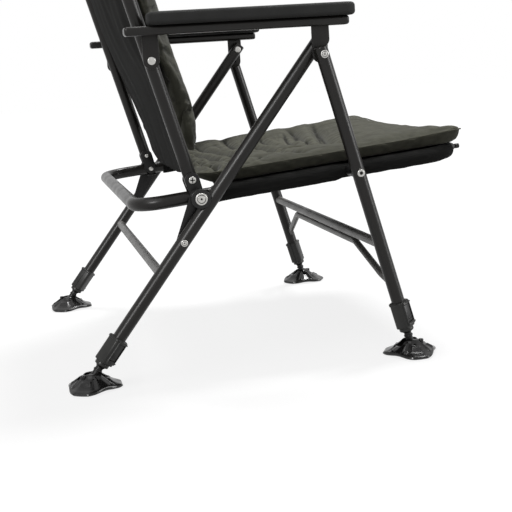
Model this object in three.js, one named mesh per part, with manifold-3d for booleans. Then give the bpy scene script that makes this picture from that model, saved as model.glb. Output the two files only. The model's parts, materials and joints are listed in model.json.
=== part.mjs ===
// High-back fishing armchair that folds, with four telescopic legs on swivel mud feet.
// Millimetres, Z up, the sitter faces -Y and the sitter's right side is -X.
import * as THREE from 'three';
import { mergeVertices } from 'three/addons/utils/BufferGeometryUtils.js';
import Module from 'manifold-3d';

const wasm = await Module();
wasm.setup();

// Side view pivots: y runs to the rear and z up from the ground, before the shift to the middle
const depthShift = 52.5;
const linkPivot = { y: 67.1, z: 288.2 };
const legPivot = { y: -189.1, z: 310 };
const backPivot = { y: 74.7, z: 316.1 };
const linkPin = { y: 98.9, z: 220.7 };
const frontPinHeight = 500;
const rearPinHeight = 524;
const footPivotHeight = 18;
const rearLegSlope = THREE.MathUtils.degToRad(51.53);
const frontLegSlope = THREE.MathUtils.degToRad(75.17);
const headLean = THREE.MathUtils.degToRad(9);

// Half widths of the planes in which the tubes lie
const railHalf = 288;
const rearLegClearance = 0.6;
const frontLegClearance = 0.4;

// Tube radii and clearances
const railRadius = 11;
const legRadius = 11;
const innerLegRadius = 9.1;
const neckRadius = 6.2;
const crossBarRadius = 8;
const braceRadius = 6;
const fitGap = 0.3;
const slideGap = 0.4;
const cutOver = 1;
const earThickness = 2.5;
const linkThickness = 3;
const armPlateThickness = 2.3;
const linkOutside = railHalf + railRadius + earThickness + linkThickness + fitGap * 3;
const rearLegHalf = linkOutside + rearLegClearance + legRadius;
const plateRoom = armPlateThickness + fitGap + frontLegClearance;
const frontLegHalf = rearLegHalf + legRadius * 2 + plateRoom;

// Seat frame loop, along the rails from the link pivot: minus is towards the front
const seatFront = -451;
const seatRear = 98;
const loopJoin = -22;
const frontCornerRadius = 62;
const rearCornerRadius = 46;
const sleeveThickness = 1.6;
const sleeveEnd = -27;
const sleeveCut = 15;
const slingThickness = 2.4;
const slingDrop = 5;
const slingRear = -34;

// Seat cushion, measured from the rail axis
const cushionOverhang = 4;
const cushionHalfWidth = railHalf + cushionOverhang;
const cushionFront = -474.6;
const cushionRear = -8;
const cushionBase = railRadius + fitGap * 2 + sleeveThickness;
const cushionRearLift = 8;
const cushionLiftStart = -55;
const cushionLiftEnd = -12;
const cushionSeam = 33.5;
const cushionSag = 10;
const cushionSagStart = -340;
const cushionSagEnd = -470;
const cushionRoll = 12;
const cushionRollRun = 40;
const cushionHollow = 11;
const cushionHollowStart = 50;
const cushionHollowEnd = 190;
const crossSeam = -262;
const crossSeamBow = 34;
const crossSeamDepth = 9;
const crossSeamRun = 28;
const gatherDepth = 9;
const gatherRun = 30;
const gathers = [
  { x: -165, s: -180 },
  { x: 150, s: -190 },
  { x: -70, s: -225 },
  { x: 60, s: -150 },
  { x: -100, s: -95 },
  { x: 130, s: -80 },
  { x: -215, s: -120 },
];
const cushionCorner = 56;

// Backrest, measured up the side tubes from the back pivot
const backTop = 628;
const backBend = 430;
const backBendRadius = 160;
const backCornerRadius = 70;
const backTubeFoot = 9;
const panelBottom = 15.5;
const panelHemDrop = 22;
const panelTopInset = 17;
const panelBack = -11;
const panelThickness = 3;
const panelBulge = 8;
const padBottom = 30;
const padTop = 506;
const padInset = 4;
const padHalfWidth = railHalf - padInset;
const padBase = 11.3;
const padEdge = 20;
const padRoll = 14;
const padRollRun = 40;
const padCrown = 7;
const padTuck = 11;
const padTuckRun = 34;
const padTuftHalf = 110;
const padTuftLow = 190;
const padTuftHigh = 345;
const padCorner = 34;
const pillowBottom = 513;
const pillowTop = 640;
const pillowInset = 52;
const pillowHalfWidth = railHalf - pillowInset;
const pillowEdge = 20;
const pillowRoll = 17;
const pillowRollRun = 26;
const pillowCrown = 7;
const pillowTuck = 9;
const pillowTuft = 576;
const pillowCorner = 30;

// Back bracket, link and pivot hardware
const earRadius = 13.5;
const earTopRadius = 13.5;
const earNose = 6;
const saddleHalf = 9;
const linkWideRadius = 14;
const linkNarrowRadius = 9;
const capRadius = 13.2;
const capStand = 0.3;
const capFlangeRadius = 15.7;
const capFlangeThickness = 1.6;
const dentClearance = 0.6;
const pivotHeadRadius = 8.7;
const pivotHeadThickness = 2.6;
const pivotShankRadius = 4;
const backHeadRadius = 5;
const backHeadThickness = 2.2;
const backShankRadius = 3;
const rivetHeadRadius = 5.2;
const rivetHeadThickness = 1.8;
const legHeadRadius = 5.6;
const legHeadThickness = 2.4;
const legSocketRadius = 2.6;
const legShankRadius = 3.6;
const spacerRadius = 9;
const shankHole = 0.35;

// Cross bars, measured down the legs from the leg pivot and from the link pin
const frontBarDown = 124;
const rearBarDown = 62;
const braceEndDown = 200;
const braceTopDown = 141;
const braceTopInset = 92;
const braceTopHalf = railHalf - braceTopInset;
const braceBendRadius = 24;
const barSink = 1;

// Leg locks, inner legs and feet
const lockLength = 46;
const lockHalf = 12.4;
const lockCorner = 5;
const lockAboveFoot = 24;
const lockTubeSeat = 3;
const ringLength = 6;
const ringRadius = 12;
const lockTurn = Math.PI / 4;
const padLift = 3;
const padHalf = 7.6;
const padLength = 38;
const leverHalf = 6.4;
const leverLength = 27;
const leverThickness = 2;
const leverRim = 0.5;
const leverStart = 7;
const pocketDepth = 4.9;
const innerLegInside = 150;
const boreDepth = 166;
const ballRadius = 8.2;
const socketRadius = 8.8;
const footRadius = 44;
const footLobe = 4.5;
const footRim = 2.6;
const footLip = 5;
const footArch = 5;
const footFlat = 15;
const footFlank = 33;
const footFlankHeight = 10.5;
const footShoulder = 18.5;
const footShoulderHeight = 20.5;
const rearFootTurn = THREE.MathUtils.degToRad(150);
const frontFootTurn = THREE.MathUtils.degToRad(180);
const hubRadius = 13.8;
const hubTop = 26;
const hubSlotHalf = 7.2;
const hubSlotFloor = 15.8;
const footPinRadius = 2.6;
const footPinHalf = 13.6;

// Armrests
const armFront = -186;
const armRear = 168;
const armOffset = 13;
const armHalf = rearLegHalf + armOffset;
const armBarHalf = 13;
const armBarHeight = 14;
const armBarRise = 20;
const armLugRadius = 13;
const armRearLugInner = 299.6;
const armPadHalf = 27;
const armPadThickness = 20;
const armPadFront = -196;
const armPadRear = 132;
const armPadCorner = 16;
const armPadBevel = 5;
const armBoltRadius = 6.4;
const armBoltThickness = 2.4;
const armPinRadius = 3.4;
const armTopReach = 12;
const armPinInside = 6;

// How finely the curves are cut
const aroundTube = 16;
const aroundBolt = 12;
const bendSteps = 5;
const aroundFoot = 24;
const cushionAcross = 18;
const cushionAlong = 12;
const seatAcross = 22;
const seatAlong = 18;
const pillowAcross = 12;
const pillowAlong = 6;

// Weld distance for closing a mesh
const weld = 1e-4;

const group = new THREE.Group();

function side(x, point) {
  return new THREE.Vector3(x, point.y + depthShift, point.z);
}

function shifted(point, direction, distance) {
  return { y: point.y + direction.y * distance, z: point.z + direction.z * distance };
}

// Directions in the side view
const rearDown = { y: Math.cos(rearLegSlope), z: -Math.sin(rearLegSlope) };
const frontDown = { y: -Math.cos(frontLegSlope), z: -Math.sin(frontLegSlope) };
const backUp = { y: Math.cos(frontLegSlope), z: Math.sin(frontLegSlope) };
const backForward = { y: -backUp.z, z: backUp.y };
const headUp = {
  y: Math.cos(frontLegSlope - headLean),
  z: Math.sin(frontLegSlope - headLean),
};
const headForward = { y: -headUp.z, z: headUp.y };
const railRun = Math.hypot(linkPivot.y - legPivot.y, linkPivot.z - legPivot.z);
const railBack = {
  y: (linkPivot.y - legPivot.y) / railRun,
  z: (linkPivot.z - legPivot.z) / railRun,
};
const railUp = { y: -railBack.z, z: railBack.y };

function atHeight(point, direction, height) {
  return shifted(point, direction, (height - point.z) / direction.z);
}

const frontPin = atHeight(legPivot, frontDown, frontPinHeight);
const rearPin = atHeight(linkPin, rearDown, rearPinHeight);
const frontFootPivot = atHeight(legPivot, frontDown, footPivotHeight);
const rearFootPivot = atHeight(linkPin, rearDown, footPivotHeight);
const armRearPin = {
  y: backPivot.y + frontPin.y - legPivot.y,
  z: backPivot.z + frontPin.z - legPivot.z,
};

// A point of the seat: x across, s along the rail from the link pivot, n square to it
function seatPoint(x, s, n) {
  return side(x, shifted(shifted(linkPivot, railBack, s), railUp, n));
}

// A point of the backrest: t up the tubes from the back pivot, m towards the sitter
function backPoint(x, t, m) {
  const lower = shifted(backPivot, backUp, Math.min(t, backBend));
  const upper = shifted(lower, headUp, Math.max(t - backBend, 0));
  return side(x, shifted(upper, t > backBend ? headForward : backForward, m));
}

// Meshes and solids
function closed(geometry) {
  const plain = new THREE.BufferGeometry();
  plain.setAttribute('position', geometry.getAttribute('position').clone());
  if (geometry.index) {
    plain.setIndex(geometry.index.clone());
  }
  return mergeVertices(plain, weld);
}

function solid(geometry) {
  const welded = closed(geometry);
  return new wasm.Manifold(new wasm.Mesh({
    numProp: 3,
    vertProperties: new Float32Array(welded.getAttribute('position').array),
    triVerts: new Uint32Array(welded.index.array),
  }));
}

function geometryOf(body) {
  const mesh = body.getMesh();
  const geometry = new THREE.BufferGeometry();
  geometry.setAttribute('position', new THREE.Float32BufferAttribute(mesh.vertProperties, 3));
  geometry.setIndex(Array.from(mesh.triVerts));
  return geometry;
}

function mirrored(geometry) {
  const copy = closed(geometry);
  copy.scale(-1, 1, 1);
  const index = Array.from(copy.index.array);
  for (let i = 0; i < index.length; i += 3) {
    [index[i], index[i + 1]] = [index[i + 1], index[i]];
  }
  copy.setIndex(index);
  return copy;
}

function add(name, geometry, look) {
  const skin = new THREE.MeshStandardMaterial(look);
  const mesh = new THREE.Mesh(closed(geometry), skin);
  mesh.geometry.computeVertexNormals();
  mesh.name = name;
  group.add(mesh);
}

function addPair(name, geometry, look) {
  add(`${name}_r`, geometry, look);
  add(`${name}_l`, mirrored(geometry), look);
}

// A path through given stations, each with its own tangent
class StationPath extends THREE.Curve {
  constructor(points, tangents) {
    super();
    this.points = points;
    this.tangents = tangents;
  }

  pick(list, t, target) {
    const last = list.length - 1;
    const low = Math.min(Math.floor(t * last + weld), last - 1);
    return target.copy(list[low]).lerp(list[low + 1], t * last - low);
  }

  getPoint(t, target = new THREE.Vector3()) {
    return this.pick(this.points, t, target);
  }

  getPointAt(u, target = new THREE.Vector3()) {
    return this.pick(this.points, u, target);
  }

  getTangent(t, target = new THREE.Vector3()) {
    return this.pick(this.tangents, t, target).normalize();
  }

  getTangentAt(u, target = new THREE.Vector3()) {
    return this.pick(this.tangents, u, target).normalize();
  }
}

// Stations along straight runs joined by round bends
function bentPath(corners, radii) {
  const points = [corners[0]];
  const tangents = [corners[1].clone().sub(corners[0]).normalize()];
  for (let i = 1; i < corners.length - 1; i += 1) {
    const into = corners[i].clone().sub(corners[i - 1]).normalize();
    const away = corners[i + 1].clone().sub(corners[i]).normalize();
    const turn = into.angleTo(away);
    const back = radii[i - 1] * Math.tan(turn / 2);
    const start = corners[i].clone().addScaledVector(into, -back);
    const middle = away.clone().sub(into).normalize();
    const reach = radii[i - 1] / Math.cos(turn / 2);
    const centre = corners[i].clone().addScaledVector(middle, reach);
    const axis = new THREE.Vector3().crossVectors(into, away).normalize();
    for (let k = 0; k <= bendSteps; k += 1) {
      const angle = (turn * k) / bendSteps;
      const arm = start.clone().sub(centre).applyAxisAngle(axis, angle);
      points.push(centre.clone().add(arm));
      tangents.push(into.clone().applyAxisAngle(axis, angle));
    }
  }
  const end = corners[corners.length - 1];
  points.push(end);
  tangents.push(end.clone().sub(corners[corners.length - 2]).normalize());
  return new StationPath(points, tangents);
}

function disc(radius, hole = 0) {
  const shape = new THREE.Shape();
  shape.absarc(0, 0, radius, 0, Math.PI * 2, false);
  if (hole > 0) {
    const inner = new THREE.Path();
    inner.absarc(0, 0, hole, 0, Math.PI * 2, true);
    shape.holes.push(inner);
  }
  return shape;
}

function tube(corners, radii, radius, hole = 0) {
  const path = bentPath(corners, radii);
  return new THREE.ExtrudeGeometry(disc(radius, hole), {
    steps: path.points.length - 1,
    curveSegments: aroundTube / 2,
    extrudePath: path,
  });
}

// A round bar from one point to another
function rod(from, to, radius, around = aroundBolt) {
  const length = from.distanceTo(to);
  const bar = new THREE.CylinderGeometry(radius, radius, length, around, 1);
  bar.rotateX(Math.PI / 2);
  const middle = from.clone().add(to).multiplyScalar(1 / 2);
  const turn = new THREE.Quaternion().setFromUnitVectors(
    new THREE.Vector3(0, 0, 1),
    to.clone().sub(from).normalize(),
  );
  bar.applyQuaternion(turn);
  bar.translate(middle.x, middle.y, middle.z);
  return bar;
}

// A round bar across the chair at a side view point, between two half widths
function pin(point, inner, outer, radius, around = aroundBolt) {
  return rod(side(-inner, point), side(-outer, point), radius, around);
}

// Moves a piece drawn with +Z down the leg and +Y to its front onto a leg
function onLeg(geometry, half, point, down) {
  const along = new THREE.Vector3(0, down.y, down.z);
  const across = new THREE.Vector3(1, 0, 0);
  const front = new THREE.Vector3().crossVectors(along, across);
  const place = new THREE.Matrix4().makeBasis(across, front, along);
  place.setPosition(side(-half, point));
  geometry.applyMatrix4(place);
  return geometry;
}

// A flat plate across x, from a side view outline
function plate(outline, inner, outer) {
  const shape = new THREE.Shape();
  outline.forEach((p, i) => {
    const spot = side(0, p);
    if (i === 0) {
      shape.moveTo(spot.y, spot.z);
    } else {
      shape.lineTo(spot.y, spot.z);
    }
  });
  const body = new THREE.ExtrudeGeometry(shape, { depth: outer - inner, bevelEnabled: false });
  const place = new THREE.Matrix4().makeBasis(
    new THREE.Vector3(0, 1, 0),
    new THREE.Vector3(0, 0, 1),
    new THREE.Vector3(1, 0, 0),
  );
  place.setPosition(new THREE.Vector3(-outer, 0, 0));
  body.applyMatrix4(place);
  return body;
}

// The outline round two discs, as one stretched plate
function strapOutline(a, aRadius, b, bRadius, steps = aroundBolt) {
  const run = Math.atan2(b.z - a.z, b.y - a.y);
  const length = Math.hypot(b.y - a.y, b.z - a.z);
  const lean = Math.acos((aRadius - bRadius) / length);
  const points = [];
  for (let i = 0; i <= steps; i += 1) {
    const angle = run + lean + ((2 * Math.PI - 2 * lean) * i) / steps;
    points.push({ y: a.y + aRadius * Math.cos(angle), z: a.z + aRadius * Math.sin(angle) });
  }
  for (let i = 0; i <= steps; i += 1) {
    const angle = run - lean + (2 * lean * i) / steps;
    points.push({ y: b.y + bRadius * Math.cos(angle), z: b.z + bRadius * Math.sin(angle) });
  }
  return points;
}

// A block with a rounded square section, standing along +Z
function softBlock(halfX, halfY, corner, length) {
  const shape = new THREE.Shape();
  shape.moveTo(-halfX + corner, -halfY);
  shape.lineTo(halfX - corner, -halfY);
  shape.absarc(halfX - corner, -halfY + corner, corner, -Math.PI / 2, 0, false);
  shape.lineTo(halfX, halfY - corner);
  shape.absarc(halfX - corner, halfY - corner, corner, 0, Math.PI / 2, false);
  shape.lineTo(-halfX + corner, halfY);
  shape.absarc(-halfX + corner, halfY - corner, corner, Math.PI / 2, Math.PI, false);
  shape.lineTo(-halfX, -halfY + corner);
  shape.absarc(-halfX + corner, -halfY + corner, corner, Math.PI, Math.PI * 1.5, false);
  return new THREE.ExtrudeGeometry(shape, {
    depth: length,
    bevelEnabled: false,
    curveSegments: 4,
  });
}

// A stuffed cushion drawn in a box of -1..1, then placed by a function of u, v and height
function cushion(across, along, place) {
  const box = new THREE.BoxGeometry(2, 2, 2, across, along, 1);
  const spots = box.getAttribute('position');
  for (let i = 0; i < spots.count; i += 1) {
    const point = place(spots.getX(i), spots.getY(i), spots.getZ(i) > 0);
    spots.setXYZ(i, point.x, point.y, point.z);
  }
  return box;
}

// How far a round corner draws an edge in, at a distance from the end of the piece
function cornerInset(distance, radius) {
  const short = Math.max(0, radius - distance);
  return radius - Math.sqrt(Math.max(0, radius ** 2 - short ** 2));
}

function bump(value, power) {
  return 1 - Math.abs(value) ** power;
}

// A smooth step from 0 at the start to 1 at the end
function ramp(value, start, end) {
  const share = Math.min(Math.max((value - start) / (end - start), 0), 1);
  return share * share * (3 - 2 * share);
}

// A dent with a run, at a distance from its middle
function dent(distance, run) {
  return Math.exp(-((distance / run) ** 2));
}

// Looks of the pieces
const tubeLook = { name: 'frame_tube', color: 0x3c3a37, metalness: 0.5, roughness: 0.45 };
const barLook = { name: 'cross_bar', color: 0x5d5b57, metalness: 0.5, roughness: 0.5 };
const innerLook = { name: 'inner_leg', color: 0x2b2a29, metalness: 0.4, roughness: 0.5 };
const bracketLook = { name: 'bracket_steel', color: 0x232221, metalness: 0.5, roughness: 0.5 };
const boltLook = { name: 'zinc_bolt', color: 0xb9b8b4, metalness: 0.9, roughness: 0.3 };
const capLook = { name: 'black_nylon', color: 0x1a1a1a, metalness: 0, roughness: 0.5 };
const lockLook = { name: 'lock_plastic', color: 0x3a3a37, metalness: 0, roughness: 0.5 };
const footLook = { name: 'foot_rubber', color: 0x1f1e1e, metalness: 0, roughness: 0.35 };
const clothLook = { name: 'frame_cloth', color: 0x373736, metalness: 0, roughness: 0.95 };
const cushionLook = { name: 'olive_polyester', color: 0x55574a, metalness: 0, roughness: 0.9 };
const armLook = { name: 'arm_foam', color: 0x222222, metalness: 0, roughness: 0.85 };

// Seat frame: two bent tubes that meet inside the back brackets
add('seat_front_loop', tube(
  [
    seatPoint(-railHalf, loopJoin, 0),
    seatPoint(-railHalf, seatFront, 0),
    seatPoint(railHalf, seatFront, 0),
    seatPoint(railHalf, loopJoin, 0),
  ],
  [frontCornerRadius, frontCornerRadius],
  railRadius,
), tubeLook);

const rearLoop = solid(tube(
  [
    seatPoint(-railHalf, loopJoin + fitGap, 0),
    seatPoint(-railHalf, seatRear, 0),
    seatPoint(railHalf, seatRear, 0),
    seatPoint(railHalf, loopJoin + fitGap, 0),
  ],
  [rearCornerRadius, rearCornerRadius],
  railRadius,
));

// The link bolts pass through the rear loop
const boltHoles = [-1, 1].map((hand) => solid(rod(
  side(hand * (railHalf - railRadius - cutOver), linkPivot),
  side(hand * (railHalf + railRadius + cutOver), linkPivot),
  pivotShankRadius + shankHole,
)));
add('seat_rear_loop', geometryOf(rearLoop.subtract(boltHoles[0]).subtract(boltHoles[1])), tubeLook);

// Cloth sleeve round the front loop, cut away at the leg bolts
const sleeveOuter = railRadius + fitGap + sleeveThickness;
const sleeveRing = solid(tube(
  [
    seatPoint(-railHalf, sleeveEnd, 0),
    seatPoint(-railHalf, seatFront, 0),
    seatPoint(railHalf, seatFront, 0),
    seatPoint(railHalf, sleeveEnd, 0),
  ],
  [frontCornerRadius, frontCornerRadius],
  sleeveOuter,
  railRadius + fitGap,
));
const sleeveHoles = [-1, 1].map((hand) => solid(rod(
  side(hand * railHalf, legPivot),
  side(hand * (railHalf + railRadius + sleeveThickness + cutOver), legPivot),
  sleeveCut,
)));
add('seat_sleeve', geometryOf(sleeveRing.subtract(sleeveHoles[0]).subtract(sleeveHoles[1])), clothLook);

// Sling between the rails, sagging a little to the middle
const slingHalf = railHalf - sleeveOuter - fitGap;
const slingFront = seatFront + sleeveOuter + fitGap;
const slingCorner = frontCornerRadius - railRadius;
add('seat_sling', cushion(cushionAcross / 2, cushionAlong / 2, (u, v, top) => {
  const s = slingRear + ((slingFront - slingRear) * (1 - v)) / 2;
  const corner = cornerInset(s - slingFront, slingCorner);
  const sag = slingDrop * bump(u, 2) * bump(v, 2);
  const n = (top ? slingThickness / 2 : -slingThickness / 2) - sag;
  return seatPoint(u * (slingHalf - corner), s, n);
}), clothLook);

// Seat cushion: rolls along its edges, a hollow between them, a cross seam and gathers
add('seat_cushion', cushion(seatAcross, seatAlong, (u, v, top) => {
  const s = cushionRear + ((cushionFront - cushionRear) * (1 - v)) / 2;
  const x = u * (cushionHalfWidth - cushionCorner * Math.max(0, Math.abs(v) - 0.8) * 1.8);
  if (!top) {
    return seatPoint(x, s, cushionBase + cushionRearLift * ramp(s, cushionLiftStart, cushionLiftEnd));
  }
  const front = ramp(s, cushionSagStart, cushionSagEnd);
  const inset = cushionHalfWidth * (1 - Math.abs(u));
  const edge = Math.min(inset, cushionRear - s, s - cushionFront);
  const lift = ramp(edge, 0, cushionRollRun);
  const hollow = ramp(inset, cushionHollowStart, cushionHollowEnd) * (1 - front / 2);
  const bow = crossSeam - crossSeamBow * bump(u, 2);
  let n = cushionSeam - cushionSag * front * bump(u, 2) + cushionRoll * lift;
  n -= cushionHollow * hollow * lift;
  n -= crossSeamDepth * dent(s - bow, crossSeamRun) * lift;
  gathers.forEach((spot) => {
    n -= gatherDepth * dent(Math.hypot(x - spot.x, s - spot.s), gatherRun) * lift;
  });
  return seatPoint(x, s, n);
}), cushionLook);

// Back brackets: two ears round the rail and the foot of the back tube, joined by a saddle
const earInner = railHalf + railRadius + fitGap;
const earOuter = earInner + earThickness;
const earMirrorInner = railHalf - railRadius - fitGap - earThickness;
const earOutline = strapOutline(linkPivot, earRadius, backPivot, earTopRadius);
const saddleTop = railRadius + fitGap;
const saddle = [
  [-saddleHalf, -saddleTop],
  [saddleHalf, -saddleTop],
  [saddleHalf, -saddleTop - earThickness],
  [-saddleHalf, -saddleTop - earThickness],
].map(([s, n]) => shifted(shifted(linkPivot, railBack, s), railUp, n));
const nose = [
  shifted(linkPivot, railBack, 0),
  shifted(shifted(linkPivot, railBack, -earRadius - earNose), railUp, earRadius - earThickness),
  shifted(shifted(linkPivot, railBack, -earRadius), railUp, earRadius + earNose),
];
let bracket = solid(plate(earOutline, earInner, earOuter))
  .add(solid(plate(nose, earInner, earOuter)))
  .add(solid(plate(earOutline, earMirrorInner, earMirrorInner + earThickness)))
  .add(solid(plate(saddle, earMirrorInner, earOuter)));
bracket = bracket
  .subtract(solid(pin(linkPivot, earMirrorInner - cutOver, earOuter + cutOver,
    pivotShankRadius + shankHole)))
  .subtract(solid(pin(backPivot, earMirrorInner - cutOver, earOuter + cutOver,
    backShankRadius + shankHole)));
addPair('back_bracket', geometryOf(bracket), bracketLook);

// Link plates from the seat frame down to the rear legs
const linkInner = earOuter + fitGap;
const linkOuter = linkInner + linkThickness;
const link = solid(plate(
  strapOutline(linkPivot, linkWideRadius, linkPin, linkNarrowRadius),
  linkInner,
  linkOuter,
))
  .subtract(solid(pin(linkPivot, linkInner - cutOver, linkOuter + cutOver,
    pivotShankRadius + shankHole)))
  .subtract(solid(pin(linkPin, linkInner - cutOver, linkOuter + cutOver,
    pivotShankRadius + shankHole)));
addPair('rear_link', geometryOf(link), bracketLook);

// Link bolt: shank through the rail, bracket and link, a round head over a black bush
const capInner = linkOuter + fitGap;
const flangeInner = rearLegHalf + legRadius + capStand;
const capOuter = flangeInner + capFlangeThickness;
const linkBolt = solid(pin(linkPivot, railHalf - railRadius, capOuter + fitGap + barSink,
  pivotShankRadius))
  .add(solid(pin(linkPivot, capOuter + fitGap, capOuter + fitGap + pivotHeadThickness,
    pivotHeadRadius, aroundTube)));
addPair('link_bolt', geometryOf(linkBolt), boltLook);
const cap = solid(pin(linkPivot, capInner, capOuter, capRadius, aroundTube))
  .add(solid(pin(linkPivot, flangeInner, capOuter, capFlangeRadius, aroundTube)))
  .subtract(solid(pin(linkPivot, capInner - cutOver, capOuter + cutOver,
    pivotShankRadius + shankHole)));
addPair('link_bush', geometryOf(cap), capLook);

// Back bolt with its head on the outer ear
const backBolt = solid(pin(backPivot, earMirrorInner - fitGap, earOuter + fitGap + barSink,
  backShankRadius))
  .add(solid(pin(backPivot, earOuter + fitGap, earOuter + fitGap + backHeadThickness,
    backHeadRadius)));
addPair('back_bolt', geometryOf(backBolt), boltLook);

// Leg bolt from the rail out through a spacer and the front leg
const legOuter = frontLegHalf + legRadius;
const spacerInner = railHalf + railRadius + fitGap;
const spacerOuter = frontLegHalf - legRadius - fitGap;
const legBolt = solid(pin(legPivot, spacerInner, legOuter + fitGap + barSink, legShankRadius))
  .add(solid(pin(legPivot, legOuter + fitGap, legOuter + fitGap + legHeadThickness,
    legHeadRadius)))
  .subtract(solid(pin(legPivot, legOuter + fitGap + legHeadThickness - barSink,
    legOuter + legHeadThickness + cutOver, legSocketRadius, 6)));
addPair('leg_bolt', geometryOf(legBolt), boltLook);
const spacer = solid(pin(legPivot, spacerInner, spacerOuter, spacerRadius))
  .subtract(solid(pin(legPivot, spacerInner - cutOver, spacerOuter + cutOver,
    legShankRadius + shankHole)));
addPair('leg_spacer', geometryOf(spacer), capLook);

// Outer legs: solid above and bored from below for the inner legs
function outerLeg(half, top, footPivot, down, holes) {
  const reach = Math.hypot(footPivot.y - top.y, footPivot.z - top.z);
  const end = shifted(top, down, reach - lockAboveFoot - ringLength - lockTubeSeat);
  const start = shifted(top, down, -armTopReach);
  const boreTop = shifted(end, down, -boreDepth);
  let body = solid(rod(side(-half, start), side(-half, end), legRadius, aroundTube));
  body = body.subtract(solid(rod(
    side(-half, boreTop),
    side(-half, shifted(end, down, cutOver)),
    innerLegRadius + slideGap,
    aroundTube,
  )));
  holes.forEach((hole) => {
    body = body.subtract(hole);
  });
  return body;
}

const rearOuter = rearLegHalf + legRadius;
const rearInner = rearLegHalf - legRadius;
const frontInner = frontLegHalf - legRadius;
const rearLeg = outerLeg(rearLegHalf, rearPin, rearFootPivot, rearDown, [
  solid(pin(linkPivot, rearInner - cutOver, rearOuter + cutOver,
    capRadius + dentClearance, aroundTube)),
  solid(pin(linkPin, rearInner - cutOver, rearOuter + cutOver, pivotShankRadius + shankHole)),
  solid(pin(rearPin, rearInner - cutOver, rearOuter + cutOver, armPinRadius + shankHole)),
]);
addPair('rear_leg', geometryOf(rearLeg), tubeLook);
const frontLeg = outerLeg(frontLegHalf, frontPin, frontFootPivot, frontDown, [
  solid(pin(legPivot, frontInner - cutOver, legOuter + cutOver, legShankRadius + shankHole)),
  solid(pin(frontPin, frontInner - cutOver, legOuter + cutOver, armPinRadius + shankHole)),
]);
addPair('front_leg', geometryOf(frontLeg), tubeLook);

// Rivet that holds the link to the rear leg
const linkRivet = solid(pin(linkPin, linkInner, rearOuter + fitGap + barSink, pivotShankRadius))
  .add(solid(pin(linkPin, rearOuter + fitGap, rearOuter + fitGap + rivetHeadThickness,
    rivetHeadRadius)));
addPair('link_rivet', geometryOf(linkRivet), boltLook);

// Cross bars between the legs
const frontBar = shifted(legPivot, frontDown, frontBarDown);
const rearBar = shifted(linkPin, rearDown, rearBarDown);
add('front_cross_bar', rod(
  side(-(frontInner - fitGap), frontBar),
  side(frontInner - fitGap, frontBar),
  crossBarRadius,
), barLook);
add('rear_cross_bar', rod(
  side(-(rearInner - fitGap), rearBar),
  side(rearInner - fitGap, rearBar),
  crossBarRadius,
), barLook);
const braceEnd = shifted(legPivot, frontDown, braceEndDown);
const braceTop = shifted(legPivot, frontDown, braceTopDown);
const braceLean = Math.atan2(braceEndDown - braceTopDown, frontInner - braceTopHalf);
const braceReach = frontInner - fitGap - braceRadius * Math.sin(braceLean);
add('front_brace', tube(
  [
    side(-braceReach, braceEnd),
    side(-braceTopHalf, braceTop),
    side(braceTopHalf, braceTop),
    side(braceReach, braceEnd),
  ],
  [braceBendRadius, braceBendRadius],
  braceRadius,
), barLook);

// Leg lock: a square collar turned on its corner, with a raised pad that holds a lever
function legLock(half, footPivot, down) {
  const length = lockLength + ringLength;
  const start = shifted(footPivot, down, -lockAboveFoot - length);
  let body = solid(softBlock(lockHalf, lockHalf, lockCorner, lockLength));
  const ring = new THREE.CylinderGeometry(ringRadius, ringRadius, ringLength + cutOver, aroundTube);
  ring.rotateX(Math.PI / 2);
  ring.translate(0, 0, lockLength + (ringLength - cutOver) / 2);
  const pad = new THREE.BoxGeometry(padHalf * 2, padLift + lockCorner, padLength);
  pad.translate(0, lockHalf + (padLift - lockCorner) / 2, leverStart - leverRim
    - (padLength - leverLength) / 2 + padLength / 2);
  const pocket = new THREE.BoxGeometry((leverHalf + leverRim) * 2, pocketDepth * 2,
    leverLength + leverRim * 2);
  pocket.translate(0, lockHalf + padLift, leverStart + leverLength / 2);
  const bore = new THREE.CylinderGeometry(legRadius + fitGap, legRadius + fitGap,
    lockLength - lockTubeSeat + cutOver, aroundTube);
  bore.rotateX(Math.PI / 2);
  bore.translate(0, 0, (lockLength - lockTubeSeat - cutOver) / 2);
  const throat = new THREE.CylinderGeometry(innerLegRadius + slideGap,
    innerLegRadius + slideGap, length * 2, aroundTube);
  throat.rotateX(Math.PI / 2);
  throat.translate(0, 0, length);
  body = body.add(solid(ring)).add(solid(pad));
  body = body.subtract(solid(pocket)).subtract(solid(bore)).subtract(solid(throat));
  const shell = geometryOf(body);
  shell.rotateZ(lockTurn);
  const lever = new THREE.BoxGeometry(leverHalf * 2, leverThickness, leverLength);
  lever.translate(0, lockHalf + padLift - leverThickness / 2, leverStart + leverLength / 2);
  lever.rotateZ(lockTurn);
  return [shell, lever].map((piece) => onLeg(piece, half, start, down));
}
const rearLock = legLock(rearLegHalf, rearFootPivot, rearDown);
const frontLock = legLock(frontLegHalf, frontFootPivot, frontDown);
addPair('rear_lock', rearLock[0], lockLook);
addPair('rear_lever', rearLock[1], lockLook);
addPair('front_lock', frontLock[0], lockLook);
addPair('front_lever', frontLock[1], lockLook);

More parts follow.
